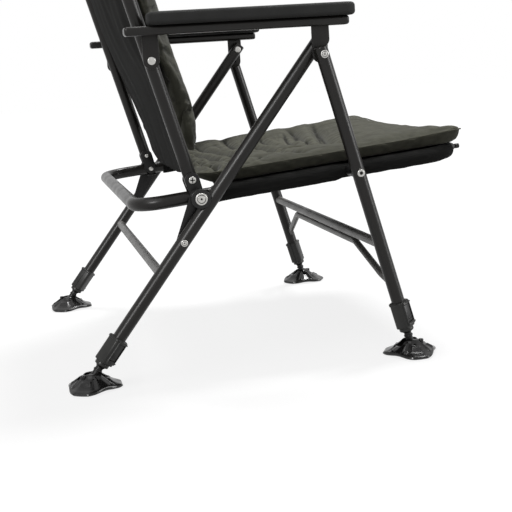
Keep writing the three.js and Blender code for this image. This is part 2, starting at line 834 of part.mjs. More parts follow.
// Inner leg with a neck, and a ball with a cross pin that sits in the foot
function innerLeg(half, footPivot, down) {
  const neckTop = -lockAboveFoot + fitGap;
  const profile = [
    [0, neckTop - innerLegInside],
    [innerLegRadius, neckTop - innerLegInside],
    [innerLegRadius, neckTop],
    [neckRadius, neckTop + innerLegRadius - neckRadius],
    [neckRadius, -Math.sqrt(ballRadius ** 2 - neckRadius ** 2)],
  ].map(([r, z]) => new THREE.Vector2(r, z));
  const steps = 7;
  const first = Math.asin(neckRadius / ballRadius);
  for (let i = 1; i <= steps; i += 1) {
    const angle = first + ((Math.PI - first) * i) / steps;
    const radius = i === steps ? 0 : ballRadius * Math.sin(angle);
    profile.push(new THREE.Vector2(radius, -ballRadius * Math.cos(angle)));
  }
  const leg = new THREE.LatheGeometry(profile, aroundTube);
  leg.rotateX(Math.PI / 2);
  const cross = pin(footPivot, half - footPinHalf, half + footPinHalf, footPinRadius);
  return geometryOf(solid(onLeg(leg, half, footPivot, down)).add(solid(cross)));
}
addPair('rear_inner_leg', innerLeg(rearLegHalf, rearFootPivot, rearDown), innerLook);
addPair('front_inner_leg', innerLeg(frontLegHalf, frontFootPivot, frontDown), innerLook);

// Mud foot: a low cone with three lobes, arches between them and a forked hub for the ball
function mudFoot(half, footPivot, turn) {
  const profile = [
    [0, 0],
    [footFlat, 0],
    [footRadius - footLip, 0],
    [footRadius, footRim],
    [footRadius, footRim + footLip / 2],
    [footFlank, footFlankHeight],
    [footShoulder, footShoulderHeight],
    [hubRadius, hubTop],
    [0, hubTop],
  ].map(([r, z]) => new THREE.Vector2(r, z));
  const cone = new THREE.LatheGeometry(profile, aroundFoot);
  cone.rotateX(Math.PI / 2);
  const spots = cone.getAttribute('position');
  for (let i = 0; i < spots.count; i += 1) {
    const x = spots.getX(i);
    const y = spots.getY(i);
    const r = Math.hypot(x, y);
    const share = Math.max(0, (r - footFlat) / (footRadius - footFlat)) ** 2;
    const lobe = Math.cos(3 * (Math.atan2(y, x) - turn));
    const wide = r > 0 ? 1 + (footLobe * lobe * share) / footRadius : 1;
    const arch = (footArch * (1 - lobe) * share) / 2;
    spots.setXYZ(i, x * wide, y * wide, spots.getZ(i) + arch);
  }
  const centre = side(-half, { y: footPivot.y, z: 0 });
  cone.translate(centre.x, centre.y, centre.z);
  const ball = new THREE.SphereGeometry(socketRadius, aroundTube, aroundTube / 2);
  ball.translate(centre.x, centre.y, footPivotHeight);
  const slot = new THREE.BoxGeometry(hubSlotHalf * 2, footShoulder * 3, hubTop - hubSlotFloor
    + cutOver);
  slot.translate(centre.x, centre.y, (hubTop + hubSlotFloor + cutOver) / 2);
  const hole = pin(footPivot, half - footPinHalf - cutOver, half + footPinHalf + cutOver,
    footPinRadius + fitGap);
  return geometryOf(solid(cone).subtract(solid(ball)).subtract(solid(slot))
    .subtract(solid(hole)));
}
addPair('rear_foot', mudFoot(rearLegHalf, rearFootPivot, rearFootTurn), footLook);
addPair('front_foot', mudFoot(frontLegHalf, frontFootPivot, frontFootTurn), footLook);

// Back frame: a bent tube with a slight lean at head height
function backTube(x) {
  return [
    backPoint(x, -backTubeFoot, 0),
    backPoint(x, backBend, 0),
    backPoint(x, backTop, 0),
  ];
}
const backLoop = solid(tube(
  [...backTube(-railHalf), ...backTube(railHalf).reverse()],
  [backBendRadius, backCornerRadius, backCornerRadius, backBendRadius],
  railRadius,
));
const backHoles = [-1, 1].flatMap((hand) => [
  solid(rod(
    side(hand * (railHalf - railRadius - cutOver), backPivot),
    side(hand * (railHalf + railRadius + cutOver), backPivot),
    backShankRadius + shankHole,
  )),
  solid(rod(
    side(hand * (railHalf - armPinInside - fitGap), armRearPin),
    side(hand * (railHalf + railRadius + cutOver), armRearPin),
    armPinRadius + shankHole,
  )),
]);
let backBody = backLoop;
backHoles.forEach((hole) => {
  backBody = backBody.subtract(hole);
});
add('back_frame', geometryOf(backBody), tubeLook);

// Cloth panel across the rear of the back frame
const panelHalf = railHalf - railRadius - fitGap;
add('back_panel', cushion(cushionAcross / 2, cushionAlong, (u, v, top) => {
  const hem = panelBottom - panelHemDrop * bump(u, 6);
  const t = hem + ((backTop - panelTopInset - hem) * (v + 1)) / 2;
  const corner = cornerInset(backTop - panelTopInset - t, backCornerRadius);
  const bulge = panelBulge * bump(u, 4) * bump(v, 4);
  const m = panelBack + (top ? panelThickness : 0) - bulge + panelBulge;
  return backPoint(u * (panelHalf - corner), t, m);
}), clothLook);

// Back pad with two rows of tufts, and the head pillow above it
function backPad(half, bottom, topEnd, form, across, along) {
  return cushion(across, along, (u, v, top) => {
    const t = bottom + ((topEnd - bottom) * (v + 1)) / 2;
    const x = u * (half - form.corner * Math.max(0, Math.abs(v) - 0.8) * 1.8);
    if (!top) {
      return backPoint(x, t, padBase);
    }
    const edge = Math.min(half * (1 - Math.abs(u)), t - bottom, topEnd - t);
    let m = form.edge + form.roll * ramp(edge, 0, form.run);
    m += form.crown * bump(u, 2) * bump(v, 2);
    form.tufts.forEach((spot) => {
      m -= form.tuck * dent(Math.hypot(x - spot.x, t - spot.t), padTuckRun);
    });
    return backPoint(x, t, padBase + m);
  });
}
const padForm = {
  edge: padEdge,
  roll: padRoll,
  run: padRollRun,
  crown: padCrown,
  tuck: padTuck,
  corner: padCorner,
  tufts: [
    { x: -padTuftHalf, t: padTuftLow },
    { x: padTuftHalf, t: padTuftLow },
    { x: -padTuftHalf, t: padTuftHigh },
    { x: padTuftHalf, t: padTuftHigh },
  ],
};
const pillowForm = {
  edge: pillowEdge,
  roll: pillowRoll,
  run: pillowRollRun,
  crown: pillowCrown,
  tuck: pillowTuck,
  corner: pillowCorner,
  tufts: [{ x: 0, t: pillowTuft }],
};
add('back_cushion', backPad(padHalfWidth, padBottom, padTop, padForm, cushionAcross,
  cushionAlong), cushionLook);
add('head_pillow', backPad(pillowHalfWidth, pillowBottom, pillowTop, pillowForm,
  pillowAcross, pillowAlong), cushionLook);

// Armrests: a bar with a plate at the front that both leg tubes are pinned to
const armBottom = rearPin.z + armBarRise;
const armTop = armBottom + armBarHeight;
const plateInner = rearOuter + fitGap;
const plateOuter = plateInner + armPlateThickness;
const armBar = plate([
  { y: armFront, z: armBottom },
  { y: armRear, z: armBottom },
  { y: armRear, z: armTop },
  { y: armFront, z: armTop },
], armHalf - armBarHalf, armHalf + armBarHalf);
const frontLug = [
  ...strapOutline(frontPin, armLugRadius, { y: frontPin.y, z: armTop - armBarHeight / 2 },
    armLugRadius - fitGap),
];
const rearFoot = { y: rearPin.y, z: armTop - armBarHeight / 2 };
const rearLug = strapOutline(rearPin, armLugRadius, rearFoot, armLugRadius - fitGap);
const backLug = strapOutline(armRearPin, armLugRadius,
  { y: armRearPin.y, z: armBottom + armBarHeight / 2 }, armLugRadius - fitGap);
const trim = plate([
  { y: armFront - armLugRadius, z: armTop },
  { y: armRear + armLugRadius, z: armTop },
  { y: armRear + armLugRadius, z: armTop + armLugRadius * 2 },
  { y: armFront - armLugRadius, z: armTop + armLugRadius * 2 },
], armRearLugInner - cutOver, armHalf + armBarHalf + cutOver);
let arm = solid(armBar)
  .add(solid(plate(frontLug, plateInner, plateOuter)))
  .add(solid(plate(rearLug, plateInner, plateOuter)))
  .add(solid(plate(backLug, armRearLugInner, armHalf - armBarHalf + cutOver)))
  .subtract(solid(trim));
arm = arm
  .subtract(solid(pin(frontPin, plateInner - cutOver, plateOuter + cutOver,
    armPinRadius + shankHole)))
  .subtract(solid(pin(armRearPin, armRearLugInner - cutOver, armHalf,
    armPinRadius + shankHole)));
addPair('arm_rail', geometryOf(arm), tubeLook);

// Foam pads on the arm bars
function armPad() {
  const length = armPadRear - armPadFront;
  const shape = new THREE.Shape();
  const halfLength = length / 2 - armPadBevel;
  const half = armPadHalf - armPadBevel;
  const corner = armPadCorner;
  shape.moveTo(-half + corner, -halfLength);
  shape.lineTo(half - corner, -halfLength);
  shape.absarc(half - corner, -halfLength + corner, corner, -Math.PI / 2, 0, false);
  shape.lineTo(half, halfLength - corner);
  shape.absarc(half - corner, halfLength - corner, corner, 0, Math.PI / 2, false);
  shape.lineTo(-half + corner, halfLength);
  shape.absarc(-half + corner, halfLength - corner, corner, Math.PI / 2, Math.PI, false);
  shape.lineTo(-half, -halfLength + corner);
  shape.absarc(-half + corner, -halfLength + corner, corner, Math.PI, Math.PI * 1.5, false);
  const pad = new THREE.ExtrudeGeometry(shape, {
    depth: armPadThickness - armPadBevel * 2,
    bevelEnabled: true,
    bevelThickness: armPadBevel,
    bevelSize: armPadBevel,
    bevelSegments: 2,
    curveSegments: 4,
  });
  const middle = side(-armHalf, { y: (armPadRear + armPadFront) / 2, z: armTop + fitGap });
  pad.translate(middle.x, middle.y, middle.z + armPadBevel);
  return pad;
}
addPair('arm_pad', armPad(), armLook);

// Pins of the armrests
const frontArmBolt = solid(pin(frontPin, plateInner, legOuter + fitGap + barSink, armPinRadius))
  .add(solid(pin(frontPin, legOuter + fitGap, legOuter + fitGap + armBoltThickness,
    armBoltRadius)));
addPair('arm_front_bolt', geometryOf(frontArmBolt), boltLook);
const rearArmBolt = solid(pin(rearPin, rearInner - fitGap - barSink, rearOuter, armPinRadius))
  .add(solid(pin(rearPin, rearInner - fitGap - armBoltThickness, rearInner - fitGap,
    armBoltRadius)));
addPair('arm_leg_rivet', geometryOf(rearArmBolt), boltLook);
const backArmBolt = solid(pin(armRearPin, railHalf - armPinInside,
  armHalf - armBarHalf + fitGap + barSink, armPinRadius))
  .add(solid(pin(armRearPin, armHalf - armBarHalf + cutOver + fitGap,
    armHalf - armBarHalf + cutOver + fitGap + armBoltThickness, armBoltRadius)));
addPair('arm_back_pin', geometryOf(backArmBolt), boltLook);

export default group;
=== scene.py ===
"""Looks of a folding high-back fishing armchair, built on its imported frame.

Metres, Z up, the sitter faces -Y and the sitter's right side is -X.
"""

import json
import math

import bmesh
import bpy
from mathutils import Matrix, Vector, noise

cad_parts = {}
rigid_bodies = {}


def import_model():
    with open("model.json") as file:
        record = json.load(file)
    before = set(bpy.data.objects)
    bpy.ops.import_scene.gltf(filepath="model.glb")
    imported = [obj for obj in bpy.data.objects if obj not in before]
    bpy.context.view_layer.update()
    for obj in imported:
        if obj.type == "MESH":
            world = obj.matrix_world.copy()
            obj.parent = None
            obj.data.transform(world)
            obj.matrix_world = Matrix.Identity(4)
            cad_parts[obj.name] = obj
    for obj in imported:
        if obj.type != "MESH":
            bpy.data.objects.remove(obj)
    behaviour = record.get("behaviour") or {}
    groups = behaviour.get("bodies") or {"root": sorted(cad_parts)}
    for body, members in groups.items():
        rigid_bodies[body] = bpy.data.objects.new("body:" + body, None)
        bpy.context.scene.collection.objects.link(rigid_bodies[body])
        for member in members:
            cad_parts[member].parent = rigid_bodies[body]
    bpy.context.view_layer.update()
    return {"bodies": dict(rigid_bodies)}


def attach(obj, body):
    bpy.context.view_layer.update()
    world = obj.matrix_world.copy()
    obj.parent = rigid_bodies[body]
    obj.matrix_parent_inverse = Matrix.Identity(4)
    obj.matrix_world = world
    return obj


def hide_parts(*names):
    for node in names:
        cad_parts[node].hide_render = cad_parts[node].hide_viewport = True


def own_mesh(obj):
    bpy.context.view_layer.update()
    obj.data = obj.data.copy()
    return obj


bl_info = {
    "name": "Folding Fishing Armchair",
    "version": (1, 0, 0),
    "blender": (4, 5, 0),
    "location": "3D View > Sidebar > Chair",
    "description": "Builds the tubes, locks, feet and cushions of a folding fishing armchair",
    "category": "Add Mesh",
}

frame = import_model()

# Pivots in the side view, at x = 0
LINK_PIVOT = Vector((0, 0.1196, 0.2882))
LEG_PIVOT = Vector((0, -0.1366, 0.3100))
BACK_PIVOT = Vector((0, 0.1272, 0.3161))
LINK_PIN = Vector((0, 0.1514, 0.2207))
REAR_SLOPE = math.radians(51.53)
FRONT_SLOPE = math.radians(75.17)
HEAD_LEAN = math.radians(9)
REAR_DOWN = Vector((0, math.cos(REAR_SLOPE), -math.sin(REAR_SLOPE)))
FRONT_DOWN = Vector((0, -math.cos(FRONT_SLOPE), -math.sin(FRONT_SLOPE)))
BACK_UP = -FRONT_DOWN
HEAD_UP = Vector((0, math.cos(FRONT_SLOPE - HEAD_LEAN), math.sin(FRONT_SLOPE - HEAD_LEAN)))
RAIL_BACK = (LINK_PIVOT - LEG_PIVOT).normalized()
ACROSS = Vector((1, 0, 0))
RAIL_UP = ACROSS.cross(RAIL_BACK)
# From the middle plane to the axes of the tubes and armrests
RAIL_HALF = 0.288
REAR_HALF = 0.317
FRONT_HALF = 0.342
ARM_HALF = 0.330
# From the middle plane to the inner and outer faces of the plates on the pivots
EAR = (0.2993, 0.3018)
FAR_EAR = (0.2742, 0.2767)
LINK_BAR = (0.3021, 0.3051)
ARM_EAR = (0.3283, 0.3306)
# From the middle plane to the seats of the bolt heads on the front legs
LEG_FACE = 0.3533
# Root, cross run and bend radius of the seat loops, along the rails from the link pivot
FRONT_LOOP = (-0.022, -0.451, 0.062)
REAR_LOOP = (-0.0217, 0.098, 0.046)
# The back tubes' bend to the head end, up the tubes from the back pivot
BACK_BEND = 0.430
# Height of the balls in the feet, and of the bar in the armrests
BALL_HEIGHT = 0.018
ARM_HEIGHT = 0.551
# Where the pads lie, square to the axes of the tubes
SEAT_REST = 0.0142
BACK_REST = 0.0145
# Faces that meet at less than this are shaded as one
SMOOTH_UNDER = math.radians(35)
# Distance between the bands of a wave texture whose scale is 1
WAVE_PERIOD = 0.314


def at_height(point, direction, height):
    """The point of a leg's axis at a height."""
    return point + direction * ((height - point.z) / direction.z)


FRONT_PIN = at_height(LEG_PIVOT, FRONT_DOWN, 0.500)
REAR_PIN = at_height(LINK_PIN, REAR_DOWN, 0.524)
FRONT_BALL = at_height(LEG_PIVOT, FRONT_DOWN, BALL_HEIGHT)
REAR_BALL = at_height(LINK_PIN, REAR_DOWN, BALL_HEIGHT)
ARM_PIN = BACK_PIVOT + FRONT_PIN - LEG_PIVOT


def seat_point(x, s, n):
    """A point of the seat: s runs back along the rail from the link pivot, n is square to it."""
    return LINK_PIVOT + ACROSS * x + RAIL_BACK * s + RAIL_UP * n


def seat_place(co):
    """The x, s and n of a point, as seat_point takes them."""
    local = co - LINK_PIVOT
    return co.x, local.dot(RAIL_BACK), local.dot(RAIL_UP)


def back_point(x, t, m):
    """A point of the backrest: t runs up the tubes from the back pivot, m towards the sitter."""
    point = BACK_PIVOT + ACROSS * x + BACK_UP * min(t, BACK_BEND) + HEAD_UP * max(t - BACK_BEND, 0)
    # The direction turns within 20 mm of the bend
    blend = min(max((t - BACK_BEND + 0.02) / 0.04, 0), 1)
    up = BACK_UP.lerp(HEAD_UP, blend).normalized()
    return point + up.cross(ACROSS) * -m


def ramp(value, start, end):
    """A smooth step from 0 at start to 1 at end."""
    share = min(max((value - start) / (end - start), 0.0), 1.0)
    return share * share * (3 - 2 * share)


def bump(value, power):
    """1 in the middle and 0 at both ends, for -1 to 1."""
    return 1 - abs(value) ** power


# Sizes and colours that a user would change


class ChairSizes(bpy.types.PropertyGroup):
    """Sizes of the chair's pieces."""

    tube_radius: bpy.props.FloatProperty(
        name="Tube Radius",
        description="Outer radius of the frame tubes and of the outer legs",
        default=0.011,
        unit="LENGTH",
    )
    bar_radius: bpy.props.FloatProperty(
        name="Cross Bar Radius",
        description="Outer radius of the straight bars between the legs",
        default=0.008,
        unit="LENGTH",
    )
    brace_radius: bpy.props.FloatProperty(
        name="Brace Radius",
        description="Outer radius of the bent brace between the front legs",
        default=0.006,
        unit="LENGTH",
    )
    foot_radius: bpy.props.FloatProperty(
        name="Foot Radius",
        description="Mean radius of a swivel foot, between its lobes and its notches",
        default=0.044,
        unit="LENGTH",
    )
    thread: bpy.props.FloatProperty(
        name="Thread Spacing",
        description="Distance between the threads of the frame cloth",
        default=0.0016,
        unit="LENGTH",
    )
    stuffing: bpy.props.FloatProperty(
        name="Stuffing Pressure",
        description="Pressure that swells the cushions in the cloth simulation",
        default=4.0,
        min=0.0,
    )


class ChairColours(bpy.types.PropertyGroup):
    """Colours of the chair's finishes, as sRGB hex values."""

    frame_coat: bpy.props.StringProperty(
        name="Frame Coat", description="Powder coat of the tubes", default="2a2826"
    )
    bar_coat: bpy.props.StringProperty(
        name="Bar Coat", description="Powder coat of the cross bars", default="5c5a57"
    )
    bracket_coat: bpy.props.StringProperty(
        name="Bracket Coat", description="Black coat of brackets and links", default="1f1e1e"
    )
    zinc: bpy.props.StringProperty(
        name="Zinc", description="Plating of the bolts and rivets", default="b4b3b0"
    )
    nylon: bpy.props.StringProperty(
        name="Nylon", description="Bushes, spacers and levers", default="171717"
    )
    lock: bpy.props.StringProperty(
        name="Lock Plastic", description="Moulded leg locks", default="31312f"
    )
    foot: bpy.props.StringProperty(
        name="Foot Plastic", description="Moulded swivel feet", default="1e1d1d"
    )
    cushion: bpy.props.StringProperty(
        name="Cushion Cloth", description="Peached cloth of the cushions", default="55554a"
    )
    cloth: bpy.props.StringProperty(
        name="Frame Cloth", description="Woven cloth of the sleeve, seat and back", default="343433"
    )
    arm: bpy.props.StringProperty(
        name="Arm Foam", description="Moulded foam of the arm pads", default="232322"
    )


# Materials


def linear(code):
    """An sRGB hex value as a linear colour."""
    parts = [int(code[i : i + 2], 16) / 255 for i in (0, 2, 4)]
    return (*((c / 12.92 if c <= 0.04045 else ((c + 0.055) / 1.055) ** 2.4) for c in parts), 1)


def shade(code, amount):
    """An sRGB hex value made lighter or darker, as a linear colour."""
    return (*(min(c * amount, 1) for c in linear(code)[:3]), 1)


def node(tree, kind, links=None, **settings):
    """Adds a node, with settings on it and values or links on its inputs."""
    made = tree.nodes.new(kind)
    for key, value in settings.items():
        setattr(made, key, value)
    for key, value in (links or {}).items():
        if isinstance(value, bpy.types.NodeSocket):
            tree.links.new(value, made.inputs[key])
        else:
            made.inputs[key].default_value = value
    return made


def surface(name, code, mottle, patch, grain, relief, depth, rough, specular=0.5):
    """A material with its colour in soft patches over a fine relief, all sized in metres.

    Returns it with its tree and with the nodes that the materials below build on.
    """
    material = bpy.data.materials.new(name)
    material.use_nodes = True
    tree = material.node_tree
    tree.nodes.clear()
    place = node(tree, "ShaderNodeTexCoord").outputs["Object"]
    patches = node(tree, "ShaderNodeTexNoise", {"Vector": place, "Scale": 1 / patch, "Detail": 3.0})
    spread = {"Value": patches.outputs["Fac"], "From Min": 0.3, "From Max": 0.7}
    tone = node(tree, "ShaderNodeMapRange", spread).outputs["Result"]
    tints = {0: tone, 6: shade(code, 1 - mottle), 7: shade(code, 1 + mottle)}
    colour = node(tree, "ShaderNodeMix", tints, data_type="RGBA")
    grains = node(tree, "ShaderNodeTexNoise", {"Vector": place, "Scale": 1 / grain, "Detail": 2.0})
    height = {"Height": grains.outputs["Fac"], "Strength": relief, "Distance": depth}
    bumps = node(tree, "ShaderNodeBump", height)
    ends = {"To Min": rough - 0.05, "To Max": rough + 0.05}
    gloss = node(tree, "ShaderNodeMapRange", {**spread, **ends})
    shader = node(
        tree,
        "ShaderNodeBsdfPrincipled",
        {
            "Base Color": colour.outputs[2],
            "Roughness": gloss.outputs["Result"],
            "Normal": bumps.outputs["Normal"],
            "Specular IOR Level": specular,
        },
    )
    node(tree, "ShaderNodeOutputMaterial", {"Surface": shader.outputs["BSDF"]})
    parts = {"place": place, "colour": colour, "grains": grains, "bump": bumps, "shader": shader}
    return material, tree, parts


def powder_coat(name, code, rough=0.33, specular=0.26):
    """Polyester powder coat, sprayed and baked: satin, with an orange peel of about 1.5 mm."""
    return surface(name, code, 0.10, 0.036, 0.0015, 0.02, 0.0003, rough, specular)[0]


def zinc_plate(name, code):
    """Zinc-plated steel, barrel plated: bright, with turning marks of about 0.7 mm."""
    material, _, parts = surface(name, code, 0.09, 0.0045, 0.0007, 0.2, 0.0002, 0.32)
    parts["shader"].inputs["Metallic"].default_value = 1.0
    return material


def moulded_plastic(name, code, rough, grain):
    """Nylon or polypropylene, injection moulded: a dull sheen over a spark-eroded grain."""
    return surface(name, code, 0.15, 0.022, grain, 0.12, 0.0003, rough, 0.32)[0]


def woven_cloth(name, code, thread, turn, contrast, relief):
    """Plain-woven polyester: crossing threads, drawn coarser than real so that they show."""
    material, tree, parts = surface(name, code, 0.13, 0.09, 0.0105, relief, thread * 0.4, 0.9, 0.04)
    turned = node(tree, "ShaderNodeMapping", {"Vector": parts["place"], "Rotation": turn})
    bands = {"Vector": turned.outputs["Vector"], "Scale": WAVE_PERIOD / thread}
    bands.update({"Distortion": 0.6, "Detail": 1.0, "Detail Scale": 2.0})
    warp, weft = (
        node(tree, "ShaderNodeTexWave", bands, wave_type="BANDS", bands_direction=direction)
        for direction in ("X", "Y")
    )
    crossing = {0: warp.outputs["Fac"], 1: weft.outputs["Fac"]}
    weave = node(tree, "ShaderNodeMath", crossing, operation="MULTIPLY").outputs["Value"]
    swing = {"Value": weave, "To Min": 1 - contrast, "To Max": 1 + contrast}
    tint = node(tree, "ShaderNodeMapRange", swing).outputs["Result"]
    dyed = {0: 1.0, 6: parts["colour"].outputs[2], 7: tint}
    colour = node(tree, "ShaderNodeMix", dyed, data_type="RGBA", blend_type="MULTIPLY")
    rough = {0: weave, 1: parts["grains"].outputs["Fac"]}
    height = node(tree, "ShaderNodeMath", rough, operation="ADD")
    tree.links.new(height.outputs["Value"], parts["bump"].inputs["Height"])
    tree.links.new(colour.outputs[2], parts["shader"].inputs["Base Color"])
    parts["shader"].inputs["Sheen Weight"].default_value = 0.02
    parts["shader"].inputs["Sheen Roughness"].default_value = 0.5
    return material


def peached_cloth(name, code):
    """Brushed polyester: a short nap over small crumples.

    Its colour is darker in the folds, as painted shade, and paler on the bulges, as painted
    light, both read from the mesh's curvature.
    """
    material, tree, parts = surface(name, code, 0.13, 0.10, 0.0024, 0.3, 0.0005, 0.88, 0.12)
    crumples = {"Vector": parts["place"], "Scale": 1 / 0.017, "Detail": 4.0, "Roughness": 0.6}
    crumple = node(tree, "ShaderNodeTexNoise", crumples).outputs["Fac"]
    relief = {"Height": crumple, "Strength": 0.5, "Distance": 0.003}
    folds = node(tree, "ShaderNodeBump", {**relief, "Normal": parts["bump"].outputs["Normal"]})
    # Curvature of the mesh, 0.5 where it is flat: it depends on how fine the mesh is
    curve = node(tree, "ShaderNodeNewGeometry").outputs["Pointiness"]
    # Painted shade: the colour darkens in the concave folds; painted light: it pales on the bulges
    shade_span = {"From Min": 0.472, "From Max": 0.514, "To Min": 0.28, "To Max": 1.15}
    painted_shade = node(tree, "ShaderNodeMapRange", {"Value": curve, **shade_span}).outputs["Result"]
    # The painted shade and light are multiplied into the cloth's colour
    shaded_colour = {0: 1.0, 6: parts["colour"].outputs[2], 7: painted_shade}
    colour = node(tree, "ShaderNodeMix", shaded_colour, data_type="RGBA", blend_type="MULTIPLY")
    tree.links.new(colour.outputs[2], parts["shader"].inputs["Base Color"])
    tree.links.new(folds.outputs["Normal"], parts["shader"].inputs["Normal"])
    parts["shader"].inputs["Sheen Weight"].default_value = 0.16
    parts["shader"].inputs["Sheen Roughness"].default_value = 0.45
    return material


def arm_foam(name, code):
    """Closed-cell EVA foam, heat moulded: matt, with cells of about 1.1 mm."""
    material, tree, parts = surface(name, code, 0.15, 0.025, 0.002, 0.3, 0.0005, 0.75, 0.3)
    cells = node(tree, "ShaderNodeTexVoronoi", {"Vector": parts["place"], "Scale": 1 / 0.0011})
    tree.links.new(cells.outputs["Distance"], parts["bump"].inputs["Height"])
    return material


MATERIALS = {}


def finish(kind):
    """The chair's material of that kind, made once from the colours in the scene."""
    if kind not in MATERIALS:
        colours = bpy.context.scene.chair_colours
        sizes = bpy.context.scene.chair_sizes
        makers = {
            "frame_coat": lambda: powder_coat("powder_coated_steel_grey", colours.frame_coat),
            "bar_coat": lambda: powder_coat("powder_coated_steel_pale", colours.bar_coat, 0.4, 0.4),
            "bracket_coat": lambda: powder_coat(
                "powder_coated_steel_black", colours.bracket_coat, 0.36, 0.25
            ),
            "zinc": lambda: zinc_plate("zinc_plated_steel", colours.zinc),
            "nylon": lambda: moulded_plastic("moulded_nylon_black", colours.nylon, 0.4, 0.0011),
            "lock": lambda: moulded_plastic("glass_filled_nylon_grey", colours.lock, 0.33, 0.0014),
            "foot": lambda: moulded_plastic(
                "moulded_polypropylene_black", colours.foot, 0.22, 0.002
            ),
            "cushion": lambda: peached_cloth("peached_polyester_olive", colours.cushion),
            "cloth": lambda: woven_cloth(
                "woven_polyester_charcoal", colours.cloth, sizes.thread, (0.0, 0.0, 0.0), 0.22, 0.35
            ),
            # Its weave is turned to lie along the back
            "back_cloth": lambda: woven_cloth(
                "woven_polyester_back",
                colours.cloth,
                sizes.thread,
                (math.radians(75), 0.0, 0.0),
                0.015,
                0.03,
            ),
            "arm": lambda: arm_foam("moulded_foam_black", colours.arm),
        }
        MATERIALS[kind] = makers[kind]()
    return MATERIALS[kind]


# Mesh work


def flipped(bm):
    """A copy of a bmesh on the other side of the chair."""
    copy = bm.copy()
    bmesh.ops.scale(copy, vec=(-1, 1, 1), verts=copy.verts)
    bmesh.ops.reverse_faces(copy, faces=copy.faces)
    return copy


def place_piece(bm, name, body, nodes, kind, slot):
    """Turns a bmesh into a piece that rides on a body and stands for CAD nodes."""
    mesh = bpy.data.meshes.new(name)
    bm.to_mesh(mesh)
    bm.free()
    mesh.shade_smooth()
    mesh.set_sharp_from_angle(angle=SMOOTH_UNDER)
    piece = bpy.data.objects.new(name, mesh)
    bpy.context.collection.objects.link(piece)
    mesh.materials.append(finish(kind))
    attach(piece, body)
    if nodes:
        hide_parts(*nodes)
    return piece


def place_pair(bm, name, body, node_name, kind, slot):
    """The piece on the sitter's right, and its mirror image on the left."""
    for hand, source in (("r", bm), ("l", flipped(bm))):
        rides = f"{body}_{hand}" if f"{body}_{hand}" in frame["bodies"] else body
        nodes = [f"{node_name}_{hand}"] if node_name else []
        place_piece(source, f"{name}_{hand}", rides, nodes, kind, slot)


def clean(bm):
    """Merges doubles and turns every face outwards."""
    bmesh.ops.remove_doubles(bm, verts=bm.verts, dist=0.00002)
    bmesh.ops.recalc_face_normals(bm, faces=bm.faces)
    return bm


def join(bm, other):
    """Adds another bmesh's shells to a bmesh."""
    mesh = bpy.data.meshes.new("part")
    other.to_mesh(mesh)
    other.free()
    bm.from_mesh(mesh)
    bpy.data.meshes.remove(mesh)
    return bm


def cut(bm, cutters, mode="DIFFERENCE"):
    """The bmesh after boolean cuts by other bmeshes."""
    base = bpy.data.meshes.new("cut_base")
    bm.to_mesh(base)
    holder = bpy.data.objects.new("cut_base", base)
    bpy.context.collection.objects.link(holder)
    made = [holder]
    for cutter in cutters:
        mesh = bpy.data.meshes.new("cutter")
        cutter.to_mesh(mesh)
        tool = bpy.data.objects.new("cutter", mesh)
        bpy.context.collection.objects.link(tool)
        made.append(tool)
        modifier = holder.modifiers.new("cut", "BOOLEAN")
        modifier.operation = mode
        modifier.solver = "EXACT"
        modifier.object = tool
    evaluated = holder.evaluated_get(bpy.context.evaluated_depsgraph_get())
    result = bmesh.new()
    result.from_mesh(evaluated.to_mesh())
    evaluated.to_mesh_clear()
    for item in made:
        mesh = item.data
        bpy.data.objects.remove(item)
        bpy.data.meshes.remove(mesh)
    return result


def turn_to(direction, origin):
    """The matrix that lays +Z along a direction at a point."""
    turn = direction.normalized().to_track_quat("Z", "Y").to_matrix().to_4x4()
    return Matrix.Translation(origin) @ turn


def leg_frame(half, point, down):
    """A leg's own axes: X across, Y to the leg's front, Z down the leg."""
    front = down.cross(ACROSS)
    turn = Matrix((ACROSS, front, down)).transposed().to_4x4()
    return Matrix.Translation(point - ACROSS * half) @ turn


def bevel_edges(bm, edges, width, segments=2):
    """Rounds edges."""
    bmesh.ops.bevel(
        bm, geom=list(edges), offset=width, affect="EDGES", segments=segments, profile=0.5,
        material=-1, clamp_overlap=True,
    )


def sharp_edges(bm, angle):
    """Edges whose faces meet at more than an angle in degrees."""
    limit = math.radians(angle)
    return [e for e in bm.edges if len(e.link_faces) == 2 and e.calc_face_angle(0) > limit]


def cylinder(start, end, radius, sides=32, round_off=0.0, top=None):
    """A round bar between two points, its rims rounded off, or a cone with its own top radius."""
    bm = bmesh.new()
    length = (end - start).length
    top = radius if top is None else top
    bmesh.ops.create_cone(
        bm, cap_ends=True, segments=sides, radius1=radius, radius2=top, depth=length
    )
    if round_off:
        bevel_edges(bm, sharp_edges(bm, 50), round_off, 3)
    bmesh.ops.transform(bm, matrix=turn_to(end - start, (start + end) / 2), verts=bm.verts)
    return bm


def cross_pin(point, inner, outer, radius, sides=32, round_off=0.0):
    """A round bar along X on the sitter's right."""
    return cylinder(point - ACROSS * inner, point - ACROSS * outer, radius, sides, round_off)


def block(size, centre, round_off=0.0, segments=2):
    """A block with rounded edges."""
    bm = bmesh.new()
    bmesh.ops.create_cube(bm, size=1.0)
    bmesh.ops.scale(bm, vec=size, verts=bm.verts)
    if round_off:
        bevel_edges(bm, bm.edges, round_off, segments)
    bmesh.ops.translate(bm, vec=centre, verts=bm.verts)
    return bm


def extrude_ring(bm, edges, move):
    """Extrudes a ring of edges by a vector and returns the new ring."""
    made = bmesh.ops.extrude_edge_only(bm, edges=edges)["geom"]
    verts = [g for g in made if isinstance(g, bmesh.types.BMVert)]
    bmesh.ops.translate(bm, vec=move, verts=verts)
    rim = set(verts)
    return [
        g
        for g in made
        if isinstance(g, bmesh.types.BMEdge) and g.verts[0] in rim and g.verts[1] in rim
    ]


